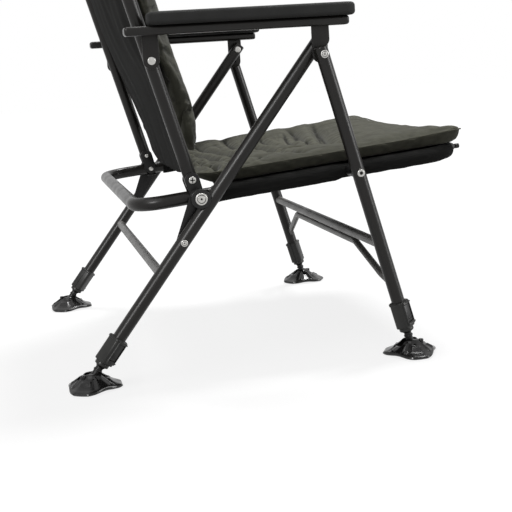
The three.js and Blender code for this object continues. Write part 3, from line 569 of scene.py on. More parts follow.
def swept_tube(points, bends, radius, sides=40, step=None, bend_steps=12, round_off=0.0):
    """A round tube: straight runs are extruded and bends are spun."""
    bm = bmesh.new()
    heading = (points[1] - points[0]).normalized()
    bmesh.ops.create_circle(bm, cap_ends=False, radius=radius, segments=sides)
    bmesh.ops.transform(bm, matrix=turn_to(heading, points[0]), verts=bm.verts)
    ring = list(bm.edges)
    first = list(ring)
    position = points[0]

    def run_to(ring, start, target):
        length = (target - start).length
        count = max(1, round(length / step)) if step else 1
        for _ in range(count):
            ring = extrude_ring(bm, ring, (target - start) / count)
        return ring

    for corner, after, bend in zip(points[1:-1], points[2:], bends):
        into = (corner - position).normalized()
        away = (after - corner).normalized()
        turn = into.angle(away)
        back = bend * math.tan(turn / 2)
        ring = run_to(ring, position, corner - into * back)
        middle = (away - into).normalized()
        centre = corner + middle * (bend / math.cos(turn / 2))
        spun = bmesh.ops.spin(
            bm, geom=ring + list({v for e in ring for v in e.verts}), cent=centre,
            axis=into.cross(away).normalized(), angle=turn, steps=bend_steps,
            use_merge=False, use_duplicate=False,
        )
        ring = [g for g in spun["geom_last"] if isinstance(g, bmesh.types.BMEdge)]
        position = corner + away * back
    ring = run_to(ring, position, points[-1])
    for rim in (first, ring):
        bmesh.ops.contextual_create(bm, geom=rim)
    clean(bm)
    if round_off:
        bevel_edges(bm, sharp_edges(bm, 60), round_off, 3)
    return bm


def flat_plate(corners, inner, outer):
    """A plate across X from a side view outline of (point, corner radius)."""
    bm = bmesh.new()
    verts = [bm.verts.new(point - ACROSS * inner) for point, _ in corners]
    bm.faces.new(verts)
    for vert, (_, radius) in zip(verts, corners):
        if radius:
            bmesh.ops.bevel(
                bm, geom=[vert], offset=radius, offset_type="OFFSET", affect="VERTICES",
                segments=8, profile=0.5, material=-1, clamp_overlap=False,
            )
    made = bmesh.ops.extrude_face_region(bm, geom=bm.faces[:])["geom"]
    verts = [g for g in made if isinstance(g, bmesh.types.BMVert)]
    bmesh.ops.translate(bm, vec=ACROSS * (inner - outer), verts=verts)
    bmesh.ops.recalc_face_normals(bm, faces=bm.faces)
    return bm


def strap(a, a_radius, b, b_radius, inner, outer):
    """A tapered plate round two discs: the hull of both circles, given its thickness."""
    bm = bmesh.new()
    for centre, radius in ((a, a_radius), (b, b_radius)):
        for x in (inner, outer):
            place = turn_to(-ACROSS, centre - ACROSS * x)
            bmesh.ops.create_circle(bm, segments=40, radius=radius, matrix=place)
    hull = bmesh.ops.convex_hull(bm, input=bm.verts[:])
    inside = {g for g in hull["geom_interior"] if isinstance(g, bmesh.types.BMVert)}
    bmesh.ops.delete(bm, geom=list(inside), context="VERTS")
    bmesh.ops.dissolve_limit(bm, angle_limit=math.radians(1), verts=bm.verts, edges=bm.edges)
    bevel_edges(bm, sharp_edges(bm, 60), 0.0006)
    return bm


def bolt_head(point, seat_x, radius, thick, socket):
    """A round domed head on the outer side, with a hexagon or cross socket or a dished face."""
    outer = seat_x + thick
    through = (seat_x - 0.001, outer + 0.002)
    head = cross_pin(point, seat_x, outer, radius, 40, thick * 0.45)
    if socket == "hex":
        return cut(head, [cross_pin(point, *through, radius * 0.50, 6)])
    if socket == "cross":
        arms = ((radius * 1.3, radius * 0.30), (radius * 0.30, radius * 1.3))
        return cut(head, [block((thick * 2.4, *size), point - ACROSS * outer) for size in arms])
    hollow = cross_pin(point, *through, radius * 0.72, 40)
    middle = cross_pin(point, seat_x, outer - thick * 0.1, radius * 0.62, 40, 0.0005)
    centre = cross_pin(point, *through, radius * 0.18, 40)
    return join(cut(head, [hollow]), cut(middle, [centre]))


def place_bolt(name, body, node_name, point, head, shank, nut=None):
    """A bolt or rivet on each side: its head, and its shank and nut as (inner, outer, radius)."""
    bm = join(bolt_head(point, *head), cross_pin(point, *shank, 24))
    if nut:
        join(bm, cross_pin(point, *nut, 32, 0.0008))
    place_pair(bm, name, body, node_name, "zinc", "zinc_bolt")


# Operators, one for each group of like pieces


class CHAIR_OT_stage(bpy.types.Operator):
    """Adds the camera, the floor with its backdrop and the soft studio lights"""

    bl_idname = "chair.stage"
    bl_label = "Stage"

    # The camera's place and its own axes, solved from the legs, the bolt heads and the feet
    eye = (-1.99794, 0.40234, 0.49181)
    right = Vector((-0.223854, -0.972624, -0.062389))
    up = Vector((0.156669, -0.099091, 0.982668))
    forward = Vector((0.961948, -0.2102, -0.174562))
    focal_length = 76.11
    # Each light's name, direction, spread in degrees and power, and whether it lights matt
    # surfaces: the two strips make only the highlights along the tubes
    lights = (
        ("key", (0.32, -0.22, 1.0), 16, 2.5, True),
        ("top_fill", (-0.30, 0.45, 1.0), 40, 0.6, True),
        ("edge_strip", (-0.75, 0.62, 0.50), 14, 1.7, False),
        ("front_strip", (-0.42, -0.90, 0.22), 26, 1.5, False),
    )
    # Strength of the world's light on the chair, and of the paper's own white
    world_light = 0.17
    paper_white = 0.84

    def execute(self, context):
        scene = context.scene
        scene.view_settings.view_transform = "Standard"
        lens = bpy.data.cameras.new("camera")
        lens.lens = self.focal_length
        lens.sensor_width = 36
        camera = bpy.data.objects.new("camera", lens)
        turn = Matrix((self.right, self.up, -self.forward)).transposed().to_4x4()
        camera.matrix_world = Matrix.Translation(self.eye) @ turn
        context.collection.objects.link(camera)
        scene.camera = camera

        bm = bmesh.new()
        bmesh.ops.create_grid(bm, x_segments=1, y_segments=1, size=14.0)
        floor = bpy.data.meshes.new("floor")
        bm.to_mesh(floor)
        bm.free()
        floor.materials.append(self.paper())
        ground = bpy.data.objects.new("floor", floor)
        context.collection.objects.link(ground)

        world = bpy.data.worlds.new("studio")
        world.use_nodes = True
        scene.world = world
        tree = world.node_tree
        tree.nodes.clear()
        rays = {"Value": self.background_rays(tree), "To Min": self.world_light, "To Max": 1.0}
        strength = node(tree, "ShaderNodeMapRange", rays).outputs["Result"]
        sky = node(tree, "ShaderNodeBackground", {"Color": (1, 1, 1, 1), "Strength": strength})
        node(tree, "ShaderNodeOutputWorld", {"Surface": sky.outputs["Background"]})

        for name, source, spread_angle, power, diffuse in self.lights:
            light = bpy.data.lights.new(name, "SUN")
            light.angle = math.radians(spread_angle)
            light.energy = power
            lamp = bpy.data.objects.new(name, light)
            lamp.matrix_world = Vector(source).to_track_quat("Z", "Y").to_matrix().to_4x4()
            lamp.visible_diffuse = diffuse
            context.collection.objects.link(lamp)
        return {"FINISHED"}

    @staticmethod
    def background_rays(tree):
        """1 for what the eye, a gloss or a clear piece sees, and 0 for the light on the chair."""
        path = node(tree, "ShaderNodeLightPath").outputs
        direct = {0: path["Is Camera Ray"], 1: path["Is Glossy Ray"]}
        seen = node(tree, "ShaderNodeMath", direct, operation="ADD").outputs["Value"]
        clear = {0: seen, 1: path["Is Transmission Ray"]}
        return node(tree, "ShaderNodeMath", clear, operation="ADD", use_clamp=True).outputs["Value"]

    def paper(self):
        """Seamless studio paper: white to the eye, with the chair's soft shadow on it."""
        material, tree, parts = surface(
            "studio_paper", "808080", 0.01, 0.3, 0.003, 0.05, 0.0002, 0.9, 0.0
        )
        white = {0: self.background_rays(tree), 1: self.paper_white}
        seen = node(tree, "ShaderNodeMath", white, operation="MULTIPLY").outputs["Value"]
        parts["shader"].inputs["Emission Color"].default_value = (1, 1, 1, 1)
        tree.links.new(seen, parts["shader"].inputs["Emission Strength"])
        return material


class CHAIR_OT_seat_frame(bpy.types.Operator):
    """Builds the seat loops, the sleeve round the front one and the sling between the rails"""

    bl_idname = "chair.seat_frame"
    bl_label = "Seat Frame"

    def execute(self, context):
        radius = context.scene.chair_sizes.tube_radius
        for name, node_name, bm in (
            ("front_loop_tube", "seat_front_loop", self.loop(*FRONT_LOOP, radius)),
            ("rear_loop_tube", "seat_rear_loop", self.loop(*REAR_LOOP, radius, bend_steps=16)),
        ):
            place_piece(bm, name, "seat", [node_name], "frame_coat", "frame_tube")
        sleeve = self.sleeve(radius)
        place_piece(sleeve, "sleeve_cloth", "seat", ["seat_sleeve"], "cloth", "frame_cloth")
        place_piece(self.toggle(), "sleeve_cord_toggle", "seat", [], "nylon", "black_nylon")
        self.sling()
        return {"FINISHED"}

    @staticmethod
    def loop(root, run, bend, radius, **how):
        """A bent tube from the end of one rail round to the end of the other."""
        corners = ((-RAIL_HALF, root), (-RAIL_HALF, run), (RAIL_HALF, run), (RAIL_HALF, root))
        points = [seat_point(x, s, 0) for x, s in corners]
        return swept_tube(points, [bend, bend], radius, **how)

    def sleeve(self, radius):
        """Cloth tube round the front loop, slightly out of round, pinched in onto the tube at each
        leg bolt.
        """
        _, run, bend = FRONT_LOOP
        bm = self.loop(-0.027, run, bend, radius + 0.0015, sides=48, step=0.006, bend_steps=10)
        for vert in bm.verts:
            push = noise.noise(vert.co * 38) * 0.0010 + noise.noise(vert.co * 110) * 0.0004
            vert.co += vert.normal * (0.0004 + push)
            x, s, n = seat_place(vert.co)
            if abs(x) < RAIL_HALF - 0.02:
                continue
            from_leg = s + (LINK_PIVOT - LEG_PIVOT).length
            axis = seat_point(math.copysign(RAIL_HALF, x), s, 0)
            outward = (vert.co - axis).normalized()
            if abs(from_leg) < 0.017:
                vert.co = axis + outward * (radius + 0.0004)
            elif from_leg > 0.022:
                vert.co += outward * 0.0012 * max(0.0, -n / radius)
        return bm

    @staticmethod
    def toggle():
        """Moulded cone and knob at the end of the sleeve's drawcord."""
        front = -RAIL_BACK
        root = seat_point(-0.222, -0.4600, 0)
        bm = cylinder(root, root + front * 0.0125, 0.0122, 32, 0.0, 0.0050)
        join(bm, cylinder(root + front * 0.010, root + front * 0.016, 0.0030, 24))
        join(bm, cylinder(root + front * 0.014, root + front * 0.0225, 0.0043, 24, 0.0016))
        return bm

    @staticmethod
    def sling():
        """Woven sling between the rails, sagging to the middle."""
        front, half, bend = -0.4377, 0.2748, 0.051
        bm = bmesh.new()
        bmesh.ops.create_grid(bm, x_segments=60, y_segments=44, size=1.0)
        for vert in bm.verts:
            u, v = vert.co.x, vert.co.y
            rear = -0.034 - 0.028 * (1 - u * u)
            s = rear - (rear - front) * (1 - v) / 2
            short = max(0.0, bend - (s - front))
            corner = bend - math.sqrt(max(0.0, bend**2 - short**2))
            sag = 0.005 * (1 - u * u) * (1 - v * v)
            ripple = noise.noise(Vector((u * 6, v * 2, 0.0))) * 0.0008
            vert.co = seat_point(u * (half - corner), s, ripple - sag)
        piece = place_piece(bm, "seat_sling_cloth", "seat", ["seat_sling"], "cloth", "frame_cloth")
        thicken(piece, 0.0012)


class CHAIR_OT_brackets(bpy.types.Operator):
    """Builds the back brackets, links, bolts, bushes, spacers and rivets"""

    bl_idname = "chair.brackets"
    bl_label = "Brackets and Bolts"

    def execute(self, context):
        ear = strap(LINK_PIVOT, 0.0108, BACK_PIVOT, 0.0120, *EAR)
        far_ear = strap(LINK_PIVOT, 0.0108, BACK_PIVOT, 0.0120, *FAR_EAR)
        nose = flat_plate(
            [
                (seat_point(0, 0.002, 0.0), 0),
                (seat_point(0, -0.0205, 0.002), 0.002),
                (seat_point(0, -0.0175, 0.0100), 0.002),
                (seat_point(0, 0.002, 0.0105), 0),
            ],
            *EAR,
        )
        inner, outer = FAR_EAR[0], EAR[1]
        saddle = block((outer - inner, 0.018, 0.0025), (0, 0, 0), 0.0006)
        turn = Matrix((ACROSS, RAIL_BACK, RAIL_UP)).transposed().to_4x4()
        under = Matrix.Translation(seat_point(-(outer + inner) / 2, 0.0, -0.01255))
        bmesh.ops.transform(saddle, matrix=under @ turn, verts=saddle.verts)
        for other in (far_ear, saddle, nose):
            join(ear, other)
        steel = ("bracket_coat", "bracket_steel")
        place_pair(ear, "back_bracket_plate", "seat", "back_bracket", *steel)

        link = strap(LINK_PIVOT, 0.014, LINK_PIN, 0.009, *LINK_BAR)
        place_pair(link, "rear_link_plate", "rear_links", "rear_link", *steel)

        bush = cross_pin(LINK_PIVOT, 0.3054, 0.3290, 0.0132, 48)
        join(bush, cross_pin(LINK_PIVOT, 0.3283, 0.3299, 0.0157, 64, 0.0006))
        place_pair(bush, "link_bush_disc", "seat", "link_bush", "nylon", "black_nylon")
        head, shank = (0.3302, 0.0098, 0.0026, "dish"), (0.2730, 0.3290, 0.004)
        nut = (0.2718, 0.2739, 0.0044)
        place_bolt("link_bolt_head", "seat", "link_bolt", LINK_PIVOT, head, shank, nut)
        head, shank = (0.3021, 0.0060, 0.0024, "cross"), (0.2730, 0.3010, 0.003)
        nut = (0.2720, 0.2739, 0.0038)
        place_bolt("back_screw", "seat", "back_bolt", BACK_PIVOT, head, shank, nut)
        rivet = cross_pin(Vector((0, 0.1290, 0.2912)), 0.3049, 0.3062, 0.0023, 24, 0.0005)
        place_pair(rivet, "rear_link_rivet", "rear_links", None, *steel)

        head, shank = (LEG_FACE, 0.0062, 0.0026, "hex"), (0.2993, 0.3524, 0.0036)
        place_bolt("leg_bolt_head", "seat", "leg_bolt", LEG_PIVOT, head, shank)
        spacer = cross_pin(LEG_PIVOT, 0.2993, 0.3307, 0.009, 40, 0.0008)
        place_pair(spacer, "leg_spacer_sleeve", "seat", "leg_spacer", "nylon", "black_nylon")

        head, shank = (0.3283, 0.0056, 0.0020, "dish"), (0.3021, 0.3276, 0.004)
        place_bolt("link_rivet_head", "rear_legs", "link_rivet", LINK_PIN, head, shank)
        return {"FINISHED"}


class CHAIR_OT_legs(bpy.types.Operator):
    """Builds the outer legs, the cross bars and the bent front brace"""

    bl_idname = "chair.legs"
    bl_label = "Legs and Bars"

    def execute(self, context):
        sizes = context.scene.chair_sizes
        radius = sizes.tube_radius
        rear = self.outer_leg(REAR_HALF, REAR_PIN, REAR_BALL, REAR_DOWN, radius)
        # The tube is pressed in round the link bolt, and its wall is drawn out beside the hollow
        hollow, fair = 0.0142, 0.022
        for vert in rear.verts:
            away = Vector((0, vert.co.y - LINK_PIVOT.y, vert.co.z - LINK_PIVOT.z))
            if away.length < hollow:
                vert.co += away.normalized() * (hollow - away.length)
            elif away.length < fair:
                share = (fair - away.length) / (fair - hollow)
                vert.co += away.normalized() * share * share * 0.0012
        place_pair(rear, "rear_leg_tube", "rear_legs", "rear_leg", "frame_coat", "frame_tube")
        front = self.outer_leg(FRONT_HALF, FRONT_PIN, FRONT_BALL, FRONT_DOWN, radius)
        place_pair(front, "front_leg_tube", "front_legs", "front_leg", "frame_coat", "frame_tube")

        for end, bar, half in (
            ("front", LEG_PIVOT + FRONT_DOWN * 0.124, FRONT_HALF),
            ("rear", LINK_PIN + REAR_DOWN * 0.062, REAR_HALF),
        ):
            reach = half - radius + 0.001
            rod = cylinder(bar - ACROSS * reach, bar + ACROSS * reach, sizes.bar_radius, 36)
            nodes = [f"{end}_cross_bar"]
            place_piece(rod, f"{end}_cross_tube", f"{end}_legs", nodes, "bar_coat", "cross_bar")
        brace = self.brace(sizes.brace_radius)
        nodes = ["front_brace"]
        place_piece(brace, "front_brace_tube", "front_legs", nodes, "bar_coat", "cross_bar")
        return {"FINISHED"}

    @staticmethod
    def outer_leg(half, top, ball, down, radius):
        """A leg tube from its rounded top end to its seat in the lock."""
        start = top - down * 0.012 - ACROSS * half
        end = ball - down * 0.033 - ACROSS * half
        return swept_tube([start, end], [], radius, 48, 0.003, round_off=0.0015)

    @staticmethod
    def brace(radius):
        """Bent brace whose ends are pressed flat against the legs."""
        low = LEG_PIVOT + FRONT_DOWN * 0.200
        high = LEG_PIVOT + FRONT_DOWN * 0.141
        reach, knee = FRONT_HALF - 0.011 - 0.0025, 0.196
        corners = ((low, -reach), (high, -knee), (high, knee), (low, reach))
        points = [point + ACROSS * x for point, x in corners]
        bm = swept_tube(points, [0.024, 0.024], radius, 32, 0.006)
        front = FRONT_DOWN.cross(ACROSS)
        for vert in bm.verts:
            side = abs(vert.co.x)
            share = ramp(side, 0.292, 0.316)
            if share:
                vert.co -= front * (vert.co - low).dot(front) * 0.62 * share
                line = low + (high - low) * ((reach - side) / (reach - knee))
                vert.co += FRONT_DOWN * (vert.co - line).dot(FRONT_DOWN) * 0.35 * share
        return bm


class CHAIR_OT_leg_locks(bpy.types.Operator):
    """Builds the moulded leg locks, their levers and the telescopic inner legs"""

    bl_idname = "chair.leg_locks"
    bl_label = "Leg Locks"

    def execute(self, context):
        roll = Matrix.Rotation(math.radians(54), 4, "Z")
        for end, half, ball, down in (
            ("rear", REAR_HALF, REAR_BALL, REAR_DOWN),
            ("front", FRONT_HALF, FRONT_BALL, FRONT_DOWN),
        ):
            top = leg_frame(half, ball - down * 0.076, down) @ roll
            foot = leg_frame(half, ball, down)
            for bm, place, name, body, node_name, kind, slot in (
                (self.lock(), top, "lock_shell", "legs", "lock", "lock", "lock_plastic"),
                (self.lever(), top, "lever_pad", "lever", "lever", "nylon", "black_nylon"),
                (
                    self.inner_leg(), foot, "inner_tube", "inner_leg", "inner_leg",
                    "bracket_coat", "inner_leg",
                ),
            ):
                bmesh.ops.transform(bm, matrix=place, verts=bm.verts)
                place_pair(bm, f"{end}_{name}", f"{end}_{body}", f"{end}_{node_name}", kind, slot)
        return {"FINISHED"}

    @staticmethod
    def lock():
        """A square collar with a raised, open panel for its lever and a ring below."""
        body = block((0.0248, 0.0248, 0.046), (0, 0, 0.023))
        upright = [e for e in body.edges if abs(e.verts[0].co.z - e.verts[1].co.z) > 0.02]
        bevel_edges(body, upright, 0.005, 5)
        bevel_edges(body, sharp_edges(body, 50), 0.0011, 2)
        panel = block((0.0182, 0.0080, 0.041), (0, 0.0114, 0.0215), 0.0009)
        lip = block((0.0272, 0.0272, 0.0040), (0, 0, 0.0030))
        corners = [e for e in lip.edges if abs(e.verts[0].co.z - e.verts[1].co.z) > 0.002]
        bevel_edges(lip, corners, 0.0060, 5)
        bevel_edges(lip, sharp_edges(lip, 50), 0.0008, 2)
        ring = cylinder(Vector((0, 0, 0.0458)), Vector((0, 0, 0.052)), 0.012, 40, 0.0012)
        rims = [block((0.0190, 0.0022, 0.0024), (0, 0.0158, z), 0.0008) for z in (0.0035, 0.0385)]
        body = cut(body, [panel, lip, ring, *rims], "UNION")
        pocket = block((0.0150, 0.0098, 0.0305), (0, 0.0152, 0.0208))
        bore = cylinder(Vector((0, 0, -0.002)), Vector((0, 0, 0.043)), 0.0113, 40)
        throat = cylinder(Vector((0, 0, 0.04)), Vector((0, 0, 0.06)), 0.0095, 40)
        split = block((0.0009, 0.004, 0.05), (0, -0.0135, 0.024))
        return cut(body, [pocket, bore, throat, split])

    @staticmethod
    def lever():
        """A push lever with three grip ribs."""
        bm = block((0.0140, 0.002, 0.029), (0, 0.0134, 0.0208), 0.0005)
        for k in range(3):
            join(bm, block((0.0110, 0.0008, 0.0012), (0, 0.0146, 0.0265 + 0.0024 * k), 0.0003))
        return bm

    @staticmethod
    def inner_leg():
        """Inner tube, its stepped neck, the ball and the foot's cross pin."""
        bm = bmesh.new()
        bmesh.ops.create_uvsphere(bm, u_segments=32, v_segments=16, radius=0.0082)
        for low, high, *shape in (
            (-0.1737, -0.0237, 0.0091, 36),
            (-0.0240, -0.0208, 0.0091, 36, 0.0, 0.0068),
            (-0.0210, -0.005, 0.0062, 36),
            (-0.0165, -0.0135, 0.0074, 36, 0.0008),
        ):
            join(bm, cylinder(Vector((0, 0, low)), Vector((0, 0, high)), *shape))
        join(bm, cylinder(Vector((-0.0136, 0, 0)), Vector((0.0136, 0, 0)), 0.0026, 24, 0.0005))
        return bm


class CHAIR_OT_mud_feet(bpy.types.Operator):
    """Builds the four moulded swivel feet with three lobes each"""

    bl_idname = "chair.mud_feet"
    bl_label = "Swivel Feet"

    def execute(self, context):
        radius = context.scene.chair_sizes.foot_radius
        for end, half, ball, turn in (
            ("rear", REAR_HALF, REAR_BALL, math.radians(150)),
            ("front", FRONT_HALF, FRONT_BALL, math.pi),
        ):
            bm = self.foot(radius, turn)
            # The small boss beside the hub
            aside = Vector((-0.0072, math.copysign(0.0150, ball.y), 0))
            low, high = Vector((0, 0, 0.018)), Vector((0, 0, 0.0258))
            join(bm, cylinder(aside + low, aside + high, 0.0044, 28, 0.0014))
            place = Matrix.Translation(Vector((-half, ball.y, 0)))
            bmesh.ops.transform(bm, matrix=place, verts=bm.verts)
            place_pair(bm, f"{end}_foot_shell", f"{end}_foot", f"{end}_foot", "foot", "foot_rubber")
        return {"FINISHED"}

    @staticmethod
    def relief(r, z, away, radius):
        """Moulded relief of the top: ridges beside each arch, a sunk arch and a raised crescent."""
        if z < 0.0075:
            return 0.0
        band = min(1.0, max(0.0, (r - 0.0155) / 0.004))
        band *= min(1.0, max(0.0, (radius - 0.002 - r) / 0.005))
        from_notch = math.pi / 3 - away
        ridge = 0.0024 * band * math.exp(-(((from_notch - 0.36) / 0.085) ** 2))
        sunk = -0.0022 * band * math.exp(-((from_notch / 0.26) ** 4))
        crescent = 0.0022 * math.exp(-(((r - 0.0255 - 0.9 * away * away * 0.01) / 0.0016) ** 2))
        return ridge + sunk + (crescent if away < 0.34 else 0.0)

    def foot(self, radius, turn):
        """A spun cone drawn out into lobes, with ribs, arches and a forked hub."""
        # Half section of the cone, as (distance from the axis, height)
        section = (
            (0.0, 0.0), (0.015, 0.0), (radius - 0.006, 0.0), (radius - 0.0015, 0.0008),
            (radius, 0.0026), (radius - 0.0008, 0.0050), (radius - 0.0035, 0.0066),
            (0.037, 0.0080), (0.033, 0.0103), (0.027, 0.0145), (0.0215, 0.0184),
            (0.0182, 0.0208), (0.0163, 0.0224), (0.0148, 0.0243), (0.0132, 0.0256),
            (0.0115, 0.0261), (0.0, 0.0261),
        )
        bm = bmesh.new()
        verts = [bm.verts.new((r, 0, z)) for r, z in section]
        for a, b in zip(verts, verts[1:]):
            bm.edges.new((a, b))
        bmesh.ops.subdivide_edges(bm, edges=bm.edges[:], cuts=1)
        bmesh.ops.spin(
            bm, geom=bm.verts[:] + bm.edges[:], cent=(0, 0, 0), axis=(0, 0, 1), angle=math.tau,
            steps=144, use_merge=True, use_duplicate=False,
        )
        clean(bm)
        for vert in bm.verts:
            x, y, z = vert.co
            r = math.hypot(x, y)
            if r < 1e-6:
                continue
            share = max(0.0, (r - 0.015) / (radius - 0.015)) ** 2
            lobe = math.cos(3 * (math.atan2(y, x) - turn))
            away = math.acos(max(-1.0, min(1.0, lobe))) / 3
            reach = min(radius + 0.0055 * lobe, (radius + 0.0020) / math.cos(away))
            wide = 1 + (reach / radius - 1) * share
            arch = 0.0025 * (1 - lobe) * share * (0.6 + 0.4 * max(0.0, -lobe))
            vert.co = Vector((x * wide, y * wide, z + arch + self.relief(r, z, away, radius)))
        ball = bmesh.new()
        bmesh.ops.create_uvsphere(ball, u_segments=32, v_segments=16, radius=0.0088)
        bmesh.ops.translate(ball, vec=(0, 0, BALL_HEIGHT), verts=ball.verts)
        slot = block((0.0144, 0.0555, 0.0120), (0, 0, 0.0218))
        left, right = Vector((-0.02, 0, BALL_HEIGHT)), Vector((0.02, 0, BALL_HEIGHT))
        return cut(bm, [ball, slot, cylinder(left, right, 0.0029, 24)])


# Soft pieces


def thicken(piece, thickness):
    """Gives a sheet its thickness, half of it on each side."""
    solid = piece.modifiers.new("thickness", "SOLIDIFY")
    solid.thickness = thickness
    solid.offset = 0.0


def swell(piece, pressure, cap, pins, voxel, stretch):
    """Voxel remesh and cloth simulation of a stuffed piece, its points kept near their start."""
    scene = bpy.context.scene
    remesh = piece.modifiers.new("remesh", "REMESH")
    remesh.mode = "VOXEL"
    remesh.voxel_size = voxel
    apply_modifiers(piece)
    mesh = piece.data
    start = [v.co.copy() for v in mesh.vertices]
    group = piece.vertex_groups.new(name="seams")
    for vert in mesh.vertices:
        weight = pins(vert.co)
        if weight > 0.01:
            group.add([vert.index], min(weight, 1.0), "REPLACE")
    cloth = piece.modifiers.new("cloth", "CLOTH")
    settings = cloth.settings
    settings.quality = 5
    settings.mass = 0.25
    settings.tension_stiffness = 12
    settings.compression_stiffness = 4
    settings.shear_stiffness = 4
    settings.bending_stiffness = 0.08
    settings.use_pressure = True
    settings.uniform_pressure_force = pressure
    settings.shrink_min = -stretch
    settings.effector_weights.gravity = 0.0
    settings.vertex_group_mass = group.name
    settings.pin_stiffness = 6.0
    cloth.collision_settings.use_collision = False
    cloth.point_cache.frame_start = 1
    cloth.point_cache.frame_end = 20
    for number in range(1, 21):
        scene.frame_set(number)
    apply_modifiers(piece)
    for vert, origin in zip(piece.data.vertices, start):
        moved = vert.co - origin
        if moved.length > 1e-7:
            vert.co = origin + moved.normalized() * cap * math.tanh(moved.length / cap)
    scene.frame_set(1)


def apply_modifiers(piece):
    """Replaces a piece's mesh by its evaluated one."""
    bpy.context.view_layer.update()
    evaluated = piece.evaluated_get(bpy.context.evaluated_depsgraph_get())
    mesh = bpy.data.meshes.new_from_object(evaluated)
    old = piece.data
    piece.modifiers.clear()
    piece.data = mesh
    mesh.name = old.name
    bpy.data.meshes.remove(old)


def soft_block(across, along, place):
    """A closed pad drawn in a box of -1..1 and placed by a function of u, v and side."""
    bm = bmesh.new()
    bmesh.ops.create_cube(bm, size=2.0)
    lengthwise = [e for e in bm.edges if abs(e.verts[0].co.x - e.verts[1].co.x) > 1]
    bmesh.ops.subdivide_edges(bm, edges=lengthwise, cuts=across, use_grid_fill=True)
    crosswise = [e for e in bm.edges if abs(e.verts[0].co.y - e.verts[1].co.y) > 1]
    bmesh.ops.subdivide_edges(bm, edges=crosswise, cuts=along, use_grid_fill=True)
    for vert in bm.verts:
        vert.co = place(vert.co.x, vert.co.y, vert.co.z > 0)
    bmesh.ops.recalc_face_normals(bm, faces=bm.faces)
    return bm


def piping(points, radius):
    """A thin welt that follows points round a seam, as a closed tube."""
    curve = bpy.data.curves.new("welt", "CURVE")
    curve.dimensions = "3D"
    curve.bevel_depth = radius
    curve.bevel_resolution = 2
    spline = curve.splines.new("POLY")
    spline.points.add(len(points) - 1)
    for spot, point in zip(spline.points, points):
        spot.co = (*point, 1)
    spline.use_cyclic_u = True
    holder = bpy.data.objects.new("welt", curve)
    bpy.context.collection.objects.link(holder)
    bpy.context.view_layer.update()
    evaluated = holder.evaluated_get(bpy.context.evaluated_depsgraph_get())
    bm = bmesh.new()
    bm.from_mesh(evaluated.to_mesh())
    evaluated.to_mesh_clear()
    bpy.data.objects.remove(holder)
    bpy.data.curves.remove(curve)
    return clean(bm)


def rounded(u, v, half_u, half_v, corner):
    """Pulls a square's border in to round corners, in metres from the middle."""
    x, y = u * half_u, v * half_v
    inner_u, inner_v = half_u - corner, half_v - corner
    reach = max(abs(x) / half_u, abs(y) / half_v)
    over_x, over_y = max(0.0, abs(x) - inner_u * reach), max(0.0, abs(y) - inner_v * reach)
    if over_x > 0 and over_y > 0:
        big = max(over_x, over_y)
        scale = big / math.hypot(over_x, over_y)
        x = math.copysign(inner_u * reach + over_x * scale, x)
        y = math.copysign(inner_v * reach + over_y * scale, y)
    return x, y


